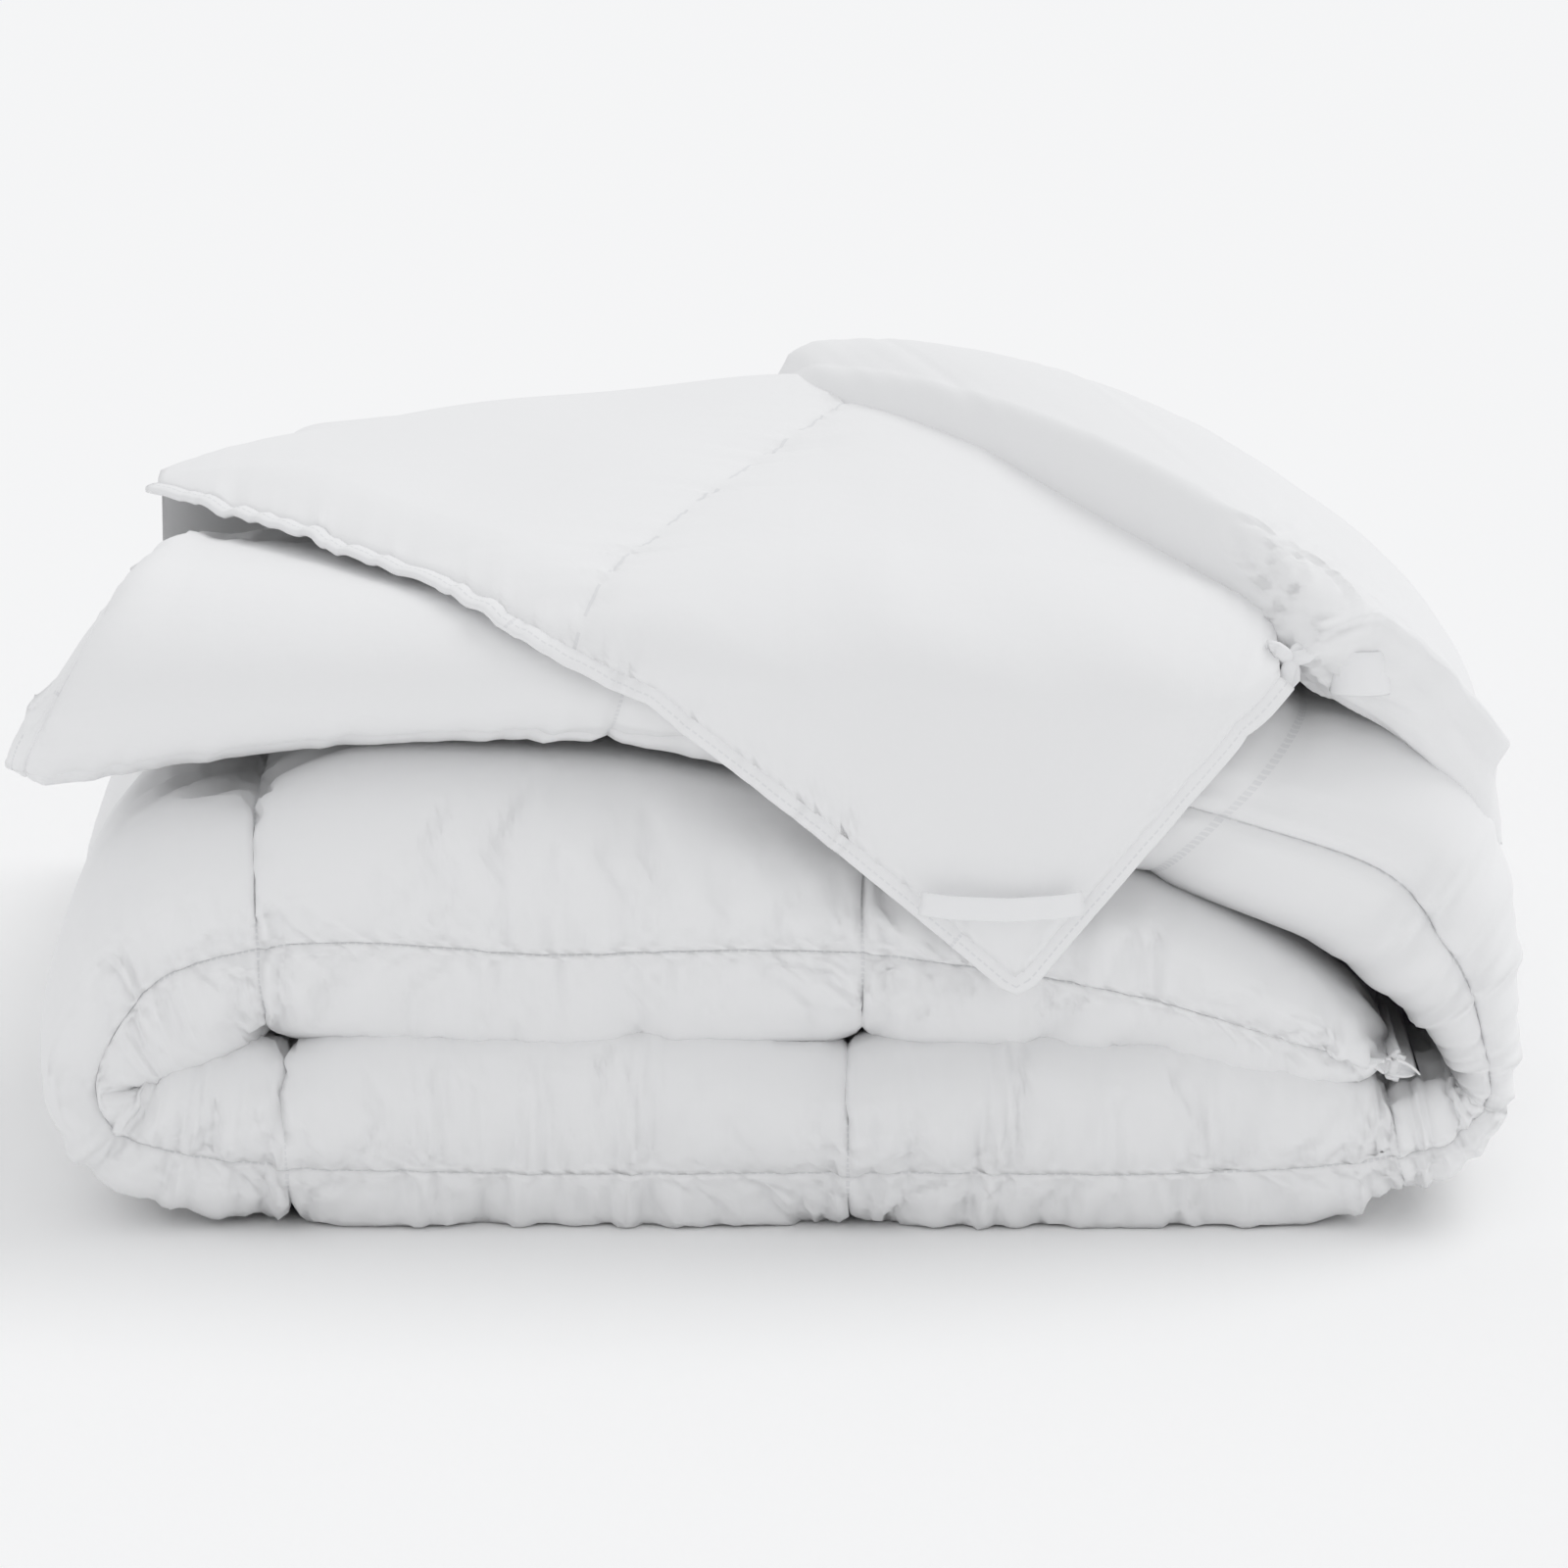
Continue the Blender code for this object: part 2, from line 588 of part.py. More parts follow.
def care_label():
    """A blank care label that hangs from the middle third's upper hem at the back."""
    cut = Section(1.5)
    hang = cut.point(cut.half / 2 - HEM_THICKNESS / 2, BACK_Y + CLEARANCE + HEM_WIDTH + CLEARANCE)
    rings = []
    for drop in (0.0, LABEL_LENGTH / 2, LABEL_LENGTH):
        top = hang - Vector((0, 0, drop))
        half = Vector((LABEL_WIDTH / 2, 0, 0))
        deep = Vector((0, LABEL_THICKNESS, 0))
        rings.append([top - half, top + half, top + half + deep, top - half + deep])
    loft("care_label", rings, "label")


def turning_point(name, point, starts, parent=None):
    """An empty on a joint's axis, with the pieces that move there as its children."""
    empty = bpy.data.objects.new(name, None)
    bpy.context.scene.collection.objects.link(empty)
    empty.location = point
    offset = Matrix.Translation(-Vector(point))
    for obj in bpy.data.objects:
        if obj.type == "MESH" and obj.parent is None and obj.name.startswith(starts):
            obj.parent = empty
            obj.matrix_parent_inverse = offset
    if parent:
        empty.parent = parent
        empty.matrix_parent_inverse = parent.matrix_world.inverted()
    bpy.context.view_layer.update()
    return empty


def middle_of(name):
    corners = [Vector(corner) for corner in bpy.data.objects[name].bound_box]
    return sum(corners, Vector()) / 8


def turning_points():
    """The top third turns about the outer side of its slit, the corner about its own top edge."""
    hinge = Section(HINGE_LINE)
    sewn = Vector((0, (1.06 * LOOP_RISE + TAPE) / 2, 0))
    loops = [(name, middle_of(name) + sewn) for name in ("corner_loop", "side_loop")]
    label_top = bpy.data.objects["care_label"].bound_box[1]
    strip = ("shell_top", "lining_top", "filling_right_turn_upper", "filling_top")
    on_top = (*strip, "hem_back_top", "hem_left_end")
    turned = ("turned_back", "filling_turned", "hem_turned", "ridge", "filling_ridge", "tie_knot")
    ends = ("pleat", "filling_pleat", "hem_long_side")
    top = turning_point("top_third_axis", hinge.point(hinge.half, 0), on_top + turned + ends)
    corner = Corner()
    edge = (corner.left + corner.right) / 2 + Vector((0, CORNER_LOFT + CLEARANCE / 2, 0))
    flap_pieces = ("corner_face", "corner_backing", "corner_filling", "hem_corner")
    flap = turning_point("corner_axis", edge, flap_pieces, top)
    turning_point("corner_loop_axis", loops[0][1], ("corner_loop",), flap)
    turning_point("side_loop_axis", loops[1][1], ("side_loop",), top)
    turning_point("care_label_axis", label_top, ("care_label",))


def centre():
    """Puts the origin under the middle of everything."""
    bpy.context.view_layer.update()
    meshes = [obj for obj in bpy.data.objects if obj.type == "MESH"]
    points = [obj.matrix_world @ vertex.co for obj in meshes for vertex in obj.data.vertices]
    x, y = ((min(p[i] for p in points) + max(p[i] for p in points)) / 2 for i in (0, 1))
    z = min(p.z for p in points)
    for obj in bpy.data.objects:
        if obj.parent is None:
            obj.location -= Vector((x, y, z))


clear_scene()
strip()
turned_back_ply()
ridge()
hanging_corner()
pleat()
pleat_hem()
side_loop()
care_label()
turning_points()
centre()
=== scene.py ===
import math

import bpy
import numpy as np
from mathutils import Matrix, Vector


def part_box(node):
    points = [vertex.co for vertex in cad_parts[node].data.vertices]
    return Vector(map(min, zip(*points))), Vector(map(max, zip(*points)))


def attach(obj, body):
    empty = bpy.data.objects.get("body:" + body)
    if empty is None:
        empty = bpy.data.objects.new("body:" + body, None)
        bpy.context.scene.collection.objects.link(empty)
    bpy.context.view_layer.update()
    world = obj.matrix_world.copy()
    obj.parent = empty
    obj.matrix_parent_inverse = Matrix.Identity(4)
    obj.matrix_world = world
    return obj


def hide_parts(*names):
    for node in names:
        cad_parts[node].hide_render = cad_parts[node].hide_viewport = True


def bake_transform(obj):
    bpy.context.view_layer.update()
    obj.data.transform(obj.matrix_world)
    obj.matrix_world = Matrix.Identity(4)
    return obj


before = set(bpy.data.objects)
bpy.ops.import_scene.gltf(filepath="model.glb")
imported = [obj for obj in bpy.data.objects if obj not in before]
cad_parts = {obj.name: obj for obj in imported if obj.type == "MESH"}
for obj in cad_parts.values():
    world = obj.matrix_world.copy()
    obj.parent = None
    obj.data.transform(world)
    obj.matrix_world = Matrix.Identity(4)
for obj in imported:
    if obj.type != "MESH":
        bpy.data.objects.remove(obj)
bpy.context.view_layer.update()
scene = bpy.context.scene

# --------------------------------------------------------------------------------------------------
# The room: a plain pale floor, an even white surround and one broad soft lamp overhead, a little to
# the right. The camera looks at the long front fold from slightly above.

fold_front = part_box("shell_bottom_third")[0][1]
look_at = (0.0, fold_front, 0.2346)
camera_distance = 4.2
camera_height_angle = math.radians(13.0)
view_width = 0.768

camera_data = bpy.data.cameras.new("camera")
camera_data.sensor_width = 36.0
camera_data.lens = 36.0 * camera_distance / view_width
camera_data.clip_end = 60.0
camera = bpy.data.objects.new("camera", camera_data)
scene.collection.objects.link(camera)
camera.location = (
    look_at[0],
    look_at[1] - camera_distance * math.cos(camera_height_angle),
    look_at[2] + camera_distance * math.sin(camera_height_angle),
)
camera.rotation_euler = (math.pi / 2 - camera_height_angle, 0.0, 0.0)
scene.camera = camera
scene.view_settings.view_transform = "Standard"

world = bpy.data.worlds.new("surround")
scene.world = world
world.use_nodes = True
seen = world.node_tree.nodes["Background"]
seen.inputs["Strength"].default_value = 0.905
seen.inputs["Color"].default_value = (1.0, 1.0, 1.0, 1.0)
light = world.node_tree.nodes.new("ShaderNodeBackground")
light.inputs["Strength"].default_value = 0.77
light.inputs["Color"].default_value = (0.985, 0.99, 1.0, 1.0)
either = world.node_tree.nodes.new("ShaderNodeMixShader")
path = world.node_tree.nodes.new("ShaderNodeLightPath")
for out, into in (
    (path.outputs["Is Camera Ray"], either.inputs[0]),
    (light.outputs[0], either.inputs[1]),
    (seen.outputs[0], either.inputs[2]),
    (either.outputs[0], world.node_tree.nodes["World Output"].inputs["Surface"]),
):
    world.node_tree.links.new(out, into)

lamp_data = bpy.data.lights.new("overhead", "SUN")
lamp_data.energy, lamp_data.angle = 0.62, math.radians(36)
lamp = bpy.data.objects.new("overhead", lamp_data)
lamp.rotation_euler = (math.radians(-14), math.radians(30), 0.0)
scene.collection.objects.link(lamp)

bpy.ops.object.select_all(action="DESELECT")
bpy.ops.mesh.primitive_plane_add(size=60.0, location=(0, 0, 0))
floor = bpy.context.object
floor.name = "floor"
pale = bpy.data.materials.new("pale_floor")
pale.use_nodes = True
pale.node_tree.nodes["Principled BSDF"].inputs["Base Color"].default_value = (0.985, 0.985, 0.985, 1)
pale.node_tree.nodes["Principled BSDF"].inputs["Roughness"].default_value = 1.0
pale.node_tree.nodes["Principled BSDF"].inputs["Specular IOR Level"].default_value = 0.0
floor.data.materials.append(pale)

# --------------------------------------------------------------------------------------------------
# The duvet's cotton: a close plain weave with a soft sheen. Its threads follow the cloth's own
# length and width, and over them lie faint crumples from the packing.

box_side = 0.285
stitch_width, stitch_pitch, stitch_share = 0.0009, 0.0040, 0.66
# The stitch colour is painted shade: a grey darker than the cloth stands in for the shade that falls
# in the sunk stitch line. The real thread is white.
stitch_shade_grey = (0.74, 0.745, 0.76)


class Dye:
    """One output in a material: sums and products add Math nodes, add() puts in any other node."""

    def __init__(self, tree, socket=None):
        self.tree, self.socket = tree, socket

    def add(self, kind, inputs=(), output=0, **settings):
        node = self.tree.nodes.new(kind)
        for name, value in settings.items():
            setattr(node, name, value)
        for name, value in dict(inputs).items():
            if isinstance(value, Dye):
                self.tree.links.new(value.socket, node.inputs[name])
            else:
                node.inputs[name].default_value = value
        return Dye(self.tree, node.outputs[output])

    def math(self, operation, first, second):
        return self.add("ShaderNodeMath", ((0, first), (1, second)), operation=operation)

    def __add__(self, other):
        return self.math("ADD", self, other)

    def __radd__(self, other):
        return self.math("ADD", other, self)

    def __sub__(self, other):
        return self.math("SUBTRACT", self, other)

    def __rsub__(self, other):
        return self.math("SUBTRACT", other, self)

    def __mul__(self, other):
        return self.math("MULTIPLY", self, other)

    def __rmul__(self, other):
        return self.math("MULTIPLY", other, self)


def cotton(name, colour, shade, roughness, sheen, crumple, along=700.0, across=60.0, sewn=True):
    """White cloth between two near shades: slubs, crumples, and stitches on every quilting seam,
    painted grey as the shade in their sunk line.
    """
    made = bpy.data.materials.new(name)
    made.use_nodes = True
    tree = made.node_tree
    shader = tree.nodes["Principled BSDF"]
    dye = Dye(tree)
    threads = dye.add("ShaderNodeUVMap", uv_map="cloth")
    place = dye.add("ShaderNodeTexCoord", output="Object")
    slubs = []
    for stretch in ((across, along, 1.0), (along, across, 1.0)):
        turned = dye.add("ShaderNodeMapping", (("Vector", threads), ("Scale", stretch)))
        slubs.append(
            dye.add("ShaderNodeTexNoise", (("Vector", turned), ("Scale", 1.0), ("Detail", 2.0)))
        )
    weave = slubs[0] * 0.5 + slubs[1] * 0.5
    crumples = dye.add(
        "ShaderNodeTexNoise",
        (("Vector", place), ("Scale", 26.0), ("Detail", 3.0), ("Roughness", 0.5)),
    )
    clouds = dye.add("ShaderNodeTexNoise", (("Vector", place), ("Scale", 5.0), ("Detail", 2.0)))
    stitches, height, second = None, weave * 0.12, (*shade, 1.0)
    if sewn:
        seam_map = dye.add("ShaderNodeUVMap", uv_map="boxes")
        boxes = dye.add("ShaderNodeSeparateXYZ", (("Vector", seam_map),))
        for first, second in (("X", "Y"), ("Y", "X")):
            across_seam = Dye(tree, boxes.socket.node.outputs[first])
            on_seam = Dye(tree, boxes.socket.node.outputs[second])
            off = dye.math("ABSOLUTE", dye.math("FRACT", across_seam + 0.5, 0.0) - 0.5, 0.0)
            line = dye.math("LESS_THAN", off * box_side, stitch_width)
            pitch = dye.math("FRACT", on_seam * (box_side / stitch_pitch), 0.0)
            dash = dye.math("LESS_THAN", pitch, stitch_share)
            run = line * dash
            stitches = run if stitches is None else dye.math("MAXIMUM", stitches, run)
        height = height + stitches * 0.5
        # Painted shade: the stitch lines take the grey stitch colour for the shade that falls in them.
        second = dye.add(
            "ShaderNodeMix",
            (("Factor", stitches), ("A", (*shade, 1.0)), ("B", (*stitch_shade_grey, 1.0))),
            output="Result",
            data_type="RGBA",
        )
    mix = dye.add(
        "ShaderNodeMix",
        (("Factor", clouds * 0.7 + weave * 0.3), ("A", (*colour, 1.0)), ("B", second)),
        output="Result",
        data_type="RGBA",
    )
    tree.links.new(mix.socket, shader.inputs["Base Color"])
    rough = roughness + (weave - 0.5) * 0.12
    tree.links.new(rough.socket, shader.inputs["Roughness"])
    fine = dye.add("ShaderNodeBump", (("Height", height), ("Strength", 0.5), ("Distance", 0.0008)))
    soft = dye.add(
        "ShaderNodeBump",
        (("Height", crumples), ("Strength", crumple), ("Distance", 0.003), ("Normal", fine)),
    )
    tree.links.new(soft.socket, shader.inputs["Normal"])
    shader.inputs["Sheen Weight"].default_value = sheen
    shader.inputs["Sheen Roughness"].default_value = 0.4
    shader.inputs["Specular IOR Level"].default_value = 0.25
    return made


percale = cotton("percale", (0.900, 0.901, 0.904), (0.884, 0.885, 0.890), 0.82, 0.05, 0.38)

# --------------------------------------------------------------------------------------------------
# The folded strip: two plies of duvet, doubled at the long front fold. It runs from the tucked end,
# round the left turn, along the floor and up the right turn. Cotton skins over loose fill, quilted
# in boxes, so every seam pulls the cloth in and the cloth puckers beside it.

half_width = 0.366
ply = 0.045
floor_clear = 0.0006
lower_bulge, upper_bulge = 0.062, 0.066
back_taper, back_edge, lining_half = 0.085, 0.0026, 0.0022
middle_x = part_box("shell_bottom_third")[1][0] - 0.850 * half_width
cover_front, cover_back = (corner[1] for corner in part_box("shell_bottom_third"))

# Each row: place along the strip in boxes, then X (in half widths) and Z (in plies) of its inner and
# its outer face.
fold_line = [
    (0.00, 0.832, 1.80, 0.832, 1.98),
    (0.15, 0.757, 1.70, 0.757, 2.42),
    (0.50, 0.492, 1.98, 0.492, 3.64),
    (1.00, 0.109, 2.20, 0.109, 4.42),
    (1.50, -0.301, 2.09, -0.301, 4.92),
    (2.00, -0.697, 2.18, -0.716, 4.84),
    (2.25, -0.815, 1.84, -0.888, 4.10),
    (2.40, -0.860, 1.74, -0.962, 2.76),
    (2.50, -0.870, 1.68, -0.990, 1.68),
    (2.60, -0.862, 1.62, -0.956, 0.90),
    (2.75, -0.815, 1.72, -0.861, 0.40),
    (3.00, -0.672, 2.00, -0.672, 0.06),
    (3.50, -0.301, 1.95, -0.301, 0.00),
    (4.00, 0.090, 2.05, 0.090, 0.00),
    (4.50, 0.464, 1.88, 0.464, 0.00),
    (5.00, 0.826, 1.60, 0.850, 0.40),
    (5.25, 0.902, 1.56, 0.945, 0.86),
    (5.38, 0.922, 1.66, 0.997, 1.56),
    (5.50, 0.908, 1.92, 0.998, 2.20),
    (5.75, 0.826, 2.58, 0.972, 4.05),
    (5.90, 0.697, 3.25, 0.888, 5.40),
    (6.00, 0.492, 3.86, 0.710, 5.88),
    (6.50, 0.137, 4.80, 0.191, 6.54),
    (7.00, -0.238, 5.34, -0.191, 6.90),
    (7.50, -0.620, 5.30, -0.554, 7.04),
    (7.80, -0.860, 4.98, -0.770, 7.22),
    (7.93, -0.965, 4.82, -0.835, 7.32),
    (8.00, -0.995, 4.86, -0.872, 7.10),
]
fold_line = np.array(fold_line)

# Where the seam nearest the front fold runs: place along the strip, and degrees from the foremost
# line, positive on the outer side.
front_seam = np.array([
    (0, -15), (1, -4), (1.5, -14), (2, -12), (2.5, 0), (3, 20), (4, 24),
    (5, 18), (5.5, 4), (6, -6), (6.4, -12), (7, -58), (8, -64),
])


def read_smooth(table, at):
    """Columns of a table at the places asked, on a smooth curve through its rows."""
    places = table[:, 0]
    at = np.atleast_1d(np.asarray(at, float))
    i = np.clip(np.searchsorted(places, at, side="right") - 1, 0, len(places) - 2)
    span = places[i + 1] - places[i]
    t = ((at - places[i]) / span)[:, None]
    slope = np.gradient(table[:, 1:], places, axis=0)
    start, end = table[i, 1:], table[i + 1, 1:]
    lead, tail = slope[i] * span[:, None], slope[i + 1] * span[:, None]
    square, cube = 3 * (end - start) - 2 * lead - tail, lead + tail - 2 * (end - start)
    return start + t * lead + t**2 * square + t**3 * cube


def ease(value):
    """Runs softly from 0 to 1."""
    value = np.clip(value, 0.0, 1.0)
    return value * value * (3 - 2 * value)


def ripple(at, seed):
    """Uneven waves along a seam, about -1 to 1: some puckers are tight and some hardly show."""
    made = np.random.default_rng(seed)
    total = 0.0
    for wavelength, share in ((0.013, 0.40), (0.018, 0.6), (0.026, 0.7), (0.041, 0.6), (0.075, 0.35)):
        total = total + share * np.sin(2 * math.pi * at / wavelength + made.uniform(0, 2 * math.pi))
    swell = 0.55 + 0.45 * np.sin(2 * math.pi * at / 0.13 + made.uniform(0, 6)) * np.sin(
        2 * math.pi * at / 0.37 + made.uniform(0, 6)
    )
    return total * swell / 1.3


def grid_normals(grid):
    """The direction square to the cloth at each point of a grid."""
    across = np.gradient(grid, axis=1)
    along = np.gradient(grid, axis=0)
    normal = np.cross(along, across)
    return -normal / np.maximum(np.linalg.norm(normal, axis=2, keepdims=True), 1e-12)


def cloth_piece(name, grid, threads, material, boxes):
    """A closed mesh from rings of points, with its thread directions and its seams as UV maps."""
    rows, count = grid.shape[:2]
    faces = []
    for i in range(rows - 1):
        near, far = i * count, (i + 1) * count
        for k in range(count):
            after = (k + 1) % count
            faces.append((near + k, near + after, far + after, far + k))
    faces.append(tuple(reversed(range(count))))
    faces.append(tuple(range((rows - 1) * count, rows * count)))
    mesh = bpy.data.meshes.new(name)
    mesh.from_pydata(grid.reshape(-1, 3).tolist(), [], faces)
    corners = np.empty(len(mesh.loops), dtype=np.int32)
    mesh.loops.foreach_get("vertex_index", corners)
    for layer_name, places in (("cloth", threads), ("boxes", boxes)):
        mesh.uv_layers.new(name=layer_name)
        values = places.reshape(-1, 2)[corners].astype(np.float32).ravel()
        mesh.uv_layers[layer_name].data.foreach_set("uv", values)
    mesh.materials.append(material)
    mesh.validate()
    obj = bpy.data.objects.new(name, mesh)
    scene.collection.objects.link(obj)
    bpy.ops.object.select_all(action="DESELECT")
    obj.select_set(True)
    bpy.context.view_layer.objects.active = obj
    bpy.ops.object.mode_set(mode="EDIT")
    bpy.ops.mesh.select_all(action="SELECT")
    bpy.ops.mesh.normals_make_consistent(inside=False)
    bpy.ops.object.mode_set(mode="OBJECT")
    bpy.ops.object.shade_smooth()
    return obj


def puff(piece, sewn, pressure=4.0, spare=0.07, cap=0.012, frames=20):
    """Fills a piece by cloth simulation: sewn points are held, and a little spare cloth wrinkles."""
    mesh = piece.data
    before = np.empty(len(mesh.vertices) * 3)
    mesh.vertices.foreach_get("co", before)
    group = piece.vertex_groups.new(name="sewn")
    group.add([int(i) for i in np.flatnonzero(sewn.ravel())], 1.0, "REPLACE")
    cloth = piece.modifiers.new("puff", "CLOTH")
    settings = cloth.settings
    settings.quality, settings.mass = 5, 0.25
    settings.tension_stiffness = settings.compression_stiffness = 12.0
    settings.shear_stiffness, settings.bending_stiffness = 6.0, 0.05
    settings.use_pressure, settings.uniform_pressure_force = True, pressure
    settings.vertex_group_mass = "sewn"
    settings.shrink_min = -spare
    settings.effector_weights.gravity = 0.0
    cloth.collision_settings.use_collision = False
    cloth.point_cache.frame_start, cloth.point_cache.frame_end = 1, frames
    for frame_number in range(1, frames + 1):
        scene.frame_set(frame_number)
    bpy.ops.object.select_all(action="DESELECT")
    piece.select_set(True)
    bpy.context.view_layer.objects.active = piece
    bpy.ops.object.modifier_apply(modifier="puff")
    scene.frame_set(1)
    after = np.empty_like(before)
    mesh = piece.data
    mesh.vertices.foreach_get("co", after)
    move = (after - before).reshape(-1, 3)
    length = np.maximum(np.linalg.norm(move, axis=1, keepdims=True), 1e-9)
    move *= np.minimum(1.0, cap * np.tanh(length / cap) / length)
    mesh.vertices.foreach_set("co", (before.reshape(-1, 3) + move).ravel())
    mesh.update()
    piece.vertex_groups.clear()


def pucker_up(piece, shape, lift):
    """Raises the small folds beside the seams on a piece made from rings."""
    mesh = piece.data
    points = np.empty(len(mesh.vertices) * 3)
    mesh.vertices.foreach_get("co", points)
    grid = points.reshape(shape)
    grid = grid + grid_normals(grid) * lift[:, :, None]
    grid[:, :, 2] = np.maximum(grid[:, :, 2], floor_clear)
    mesh.vertices.foreach_set("co", grid.ravel())
    mesh.update()


def strip_rows(lines):
    """The middle, the outward direction and half the thickness of the strip at each place along it."""
    xi, zi, xo, zo = read_smooth(fold_line, lines).T
    inner, outer = (
        np.stack([x * half_width + middle_x, np.zeros_like(x), np.maximum(z * ply, 0.0)], axis=1)
        for x, z in ((xi, zi), (xo, zo))
    )
    reach = outer - inner
    thick = np.linalg.norm(reach, axis=1)
    return (inner + outer) / 2, reach / thick[:, None], thick / 2


def between_seams(seams, counts, bias):
    """Ring places on every seam, with a fixed number between each two, closer near the front."""
    places = [seams[0]]
    for low, high, count, lean in zip(seams, seams[1:], counts, bias):
        share = np.arange(1, count + 1) / count
        share = share**lean if lean >= 1 else 1 - (1 - share) ** (1 / lean)
        places.extend(low + (high - low) * share)
    return np.array(places)


def strip_outline(place, half, bulge, front, back):
    """Height over the strip's middle plane, and Y, at a distance round the cloth from its front."""
    quarter = math.pi / 2 * math.sqrt((half * half + bulge * bulge) / 2)
    away = np.abs(place)
    angle = np.minimum(away / quarter, 1.0) * math.pi / 2
    n = half * np.sin(angle)
    y = front + bulge * (1 - np.cos(angle)) + np.maximum(away - quarter, 0.0)
    thin = np.clip((y - (back - back_taper)) / back_taper, 0.0, 1.0) ** 2.4
    n = np.where(away > quarter, half + (half / 2 + back_edge - half) * thin, n)
    return np.sign(place) * n, np.minimum(y, back)


def quilt_depth(distance, width=0.115):
    """How far the cloth lies under its fullest height, as a share, at a distance from a seam."""
    near = np.clip(1 - distance / width, 0.0, 1.0)
    return 1 - np.sqrt(np.maximum(0.0, 1 - near**2.1))


full, seam_pull, pucker = 0.0045, 0.0100, 0.0036


def quilted(grid, lines, places, seam_places, gather, seed=3):
    """Pushes cloth in at the seams and out between them, and gives the puckers beside each seam."""
    rows, count = grid.shape[:2]
    cross = np.abs(lines - np.round(lines))[:, None] * box_side
    along = np.min(np.abs(places[:, :, None] - seam_places[:, None, :]), axis=2)
    sunk = 1 - (1 - 0.5 * quilt_depth(cross)) * (1 - quilt_depth(along))
    depth = full - (full + seam_pull) * sunk
    cross_groove, long_groove = (np.exp(-((away / 0.004) ** 2)) for away in (cross, along))
    depth -= np.maximum(0.0010 * cross_groove, 0.0022 * long_groove)
    run = lines[:, None] * box_side
    seam_id = np.argmin(np.abs(places[:, :, None] - seam_places[:, None, :]), axis=2)
    by_length = np.zeros((rows, count))
    for k in range(seam_places.shape[1]):
        waves = ripple(run + 0.12 * (places - seam_places[:, k : k + 1]), seed + k)
        by_length = np.where(seam_id == k, waves, by_length)
    by_cross = np.zeros((rows, count))
    for k in np.unique(np.round(lines)):
        waves = ripple(places + 0.10 * (run - k * box_side), seed + 40 + int(k))
        by_cross = np.where(np.round(lines)[:, None] == k, waves, by_cross)
    reach = gather[:, None]
    strength = (reach / 0.026) ** 0.55
    puckers = by_length * strength * np.exp(-along / reach) * (1 - np.exp(-along / 0.004))
    puckers += 0.6 * by_cross * np.exp(-cross / 0.022) * (1 - np.exp(-cross / 0.004))
    return grid + grid_normals(grid) * depth[:, :, None], pucker * puckers


closing = ((0.92, 0.003), (0.68, 0.005), (0.36, 0.003), (0.02, 0.002))
closed = len(closing)


def close_end(grid, threads, boxes, puckers, ahead, facing, level, first):
    """Adds rings past a free end, each flatter, so that it closes softly like the end of a pillow."""
    end = 0 if first else -1
    ring = grid[end]
    off = (ring - level) @ facing
    travelled, rings, more_threads = 0.0, [], []
    for keep, step in closing:
        travelled += step
        rings.append(ring - np.outer(off * (1 - keep), facing) + ahead * travelled)
        more_threads.append(threads[end] + (-travelled if first else travelled, 0.0))
    plain = boxes[end] + (-0.02 if first else 0.02, 0.0)
    added = [rings, more_threads, [plain] * closed, [puckers[end] * 0.0] * closed]
    pairs = zip(added, (grid, threads, boxes, puckers))
    if first:
        return [np.concatenate([np.array(new[::-1]), old]) for new, old in pairs]
    return [np.concatenate([old, np.array(new)]) for new, old in pairs]


def strip_lines(first, last):
    """Places along the strip with every cross seam among them."""
    stops = sorted({first, last, *(float(k) for k in range(9) if first < k < last)})
    parts = [
        np.linspace(low, high, max(3, int(round((high - low) * 72)) + 1))[:-1]
        for low, high in zip(stops, stops[1:])
    ]
    return np.concatenate([*parts, [last]])


lower_lines = strip_lines(0.0, 5.34)
middle, outward, half_thick = strip_rows(lower_lines)
rings, round_places, seams = [], [], []
depth_in = np.array([0.0, 0.004, 0.02, 0.045, 0.075, 0.11, 0.16])
open_points = 2 * len(depth_in)
for line, centre, facing, half in zip(lower_lines, middle, outward, half_thick):
    bulge = min(lower_bulge, 1.35 * half)
    front = cover_front + 0.25 * (lower_bulge - bulge)
    quarter = math.pi / 2 * math.sqrt((half * half + bulge * bulge) / 2)
    first_seam = np.interp(line, front_seam[:, 0], front_seam[:, 1]) / 90 * quarter
    to_back = quarter + cover_back - front - bulge
    row_seams = [first_seam + k * box_side for k in (-2, -1, 0, 1, 2)]
    place = between_seams(
        [-to_back, *row_seams, to_back], (7, 14, 34, 34, 14, 7), (1, 1, 0.62, 1.6, 1, 1)
    )
    n, y = strip_outline(place, half, bulge, front, cover_back)
    open_up = np.clip(1 - depth_in / back_taper, 0.0, 1.0) ** 2.4
    inside = lining_half + max(0.0, half / 2 - 0.0048) * open_up
    n = np.concatenate([n, inside, -inside[::-1]])
    y = np.concatenate([y, cover_back - depth_in, cover_back - depth_in[::-1]])
    rings.append(centre + facing * n[:, None] + np.stack([0 * y, y, 0 * y], axis=1))
    round_places.append(np.concatenate([place, to_back + depth_in, -to_back - depth_in[::-1]]))
    seams.append(row_seams)
lower_grid, round_places, seams = np.array(rings), np.array(round_places), np.array(seams)
gather = 0.026 + 0.034 * ease((lower_lines - 2.2) / 0.3)
lower_grid, lower_puckers = quilted(lower_grid, lower_lines, round_places, seams, gather)
lower_grid[:, :, 2] = np.maximum(lower_grid[:, :, 2], floor_clear)
along_strip = np.broadcast_to(lower_lines[:, None] * box_side, round_places.shape)
threads = np.stack([along_strip, round_places], axis=2)
box_places = (round_places - seams[:, 2:3]) / box_side
boxes = np.stack([np.broadcast_to(lower_lines[:, None], box_places.shape), box_places], axis=2)
ahead = (middle[0] - middle[1]) / np.linalg.norm(middle[0] - middle[1])
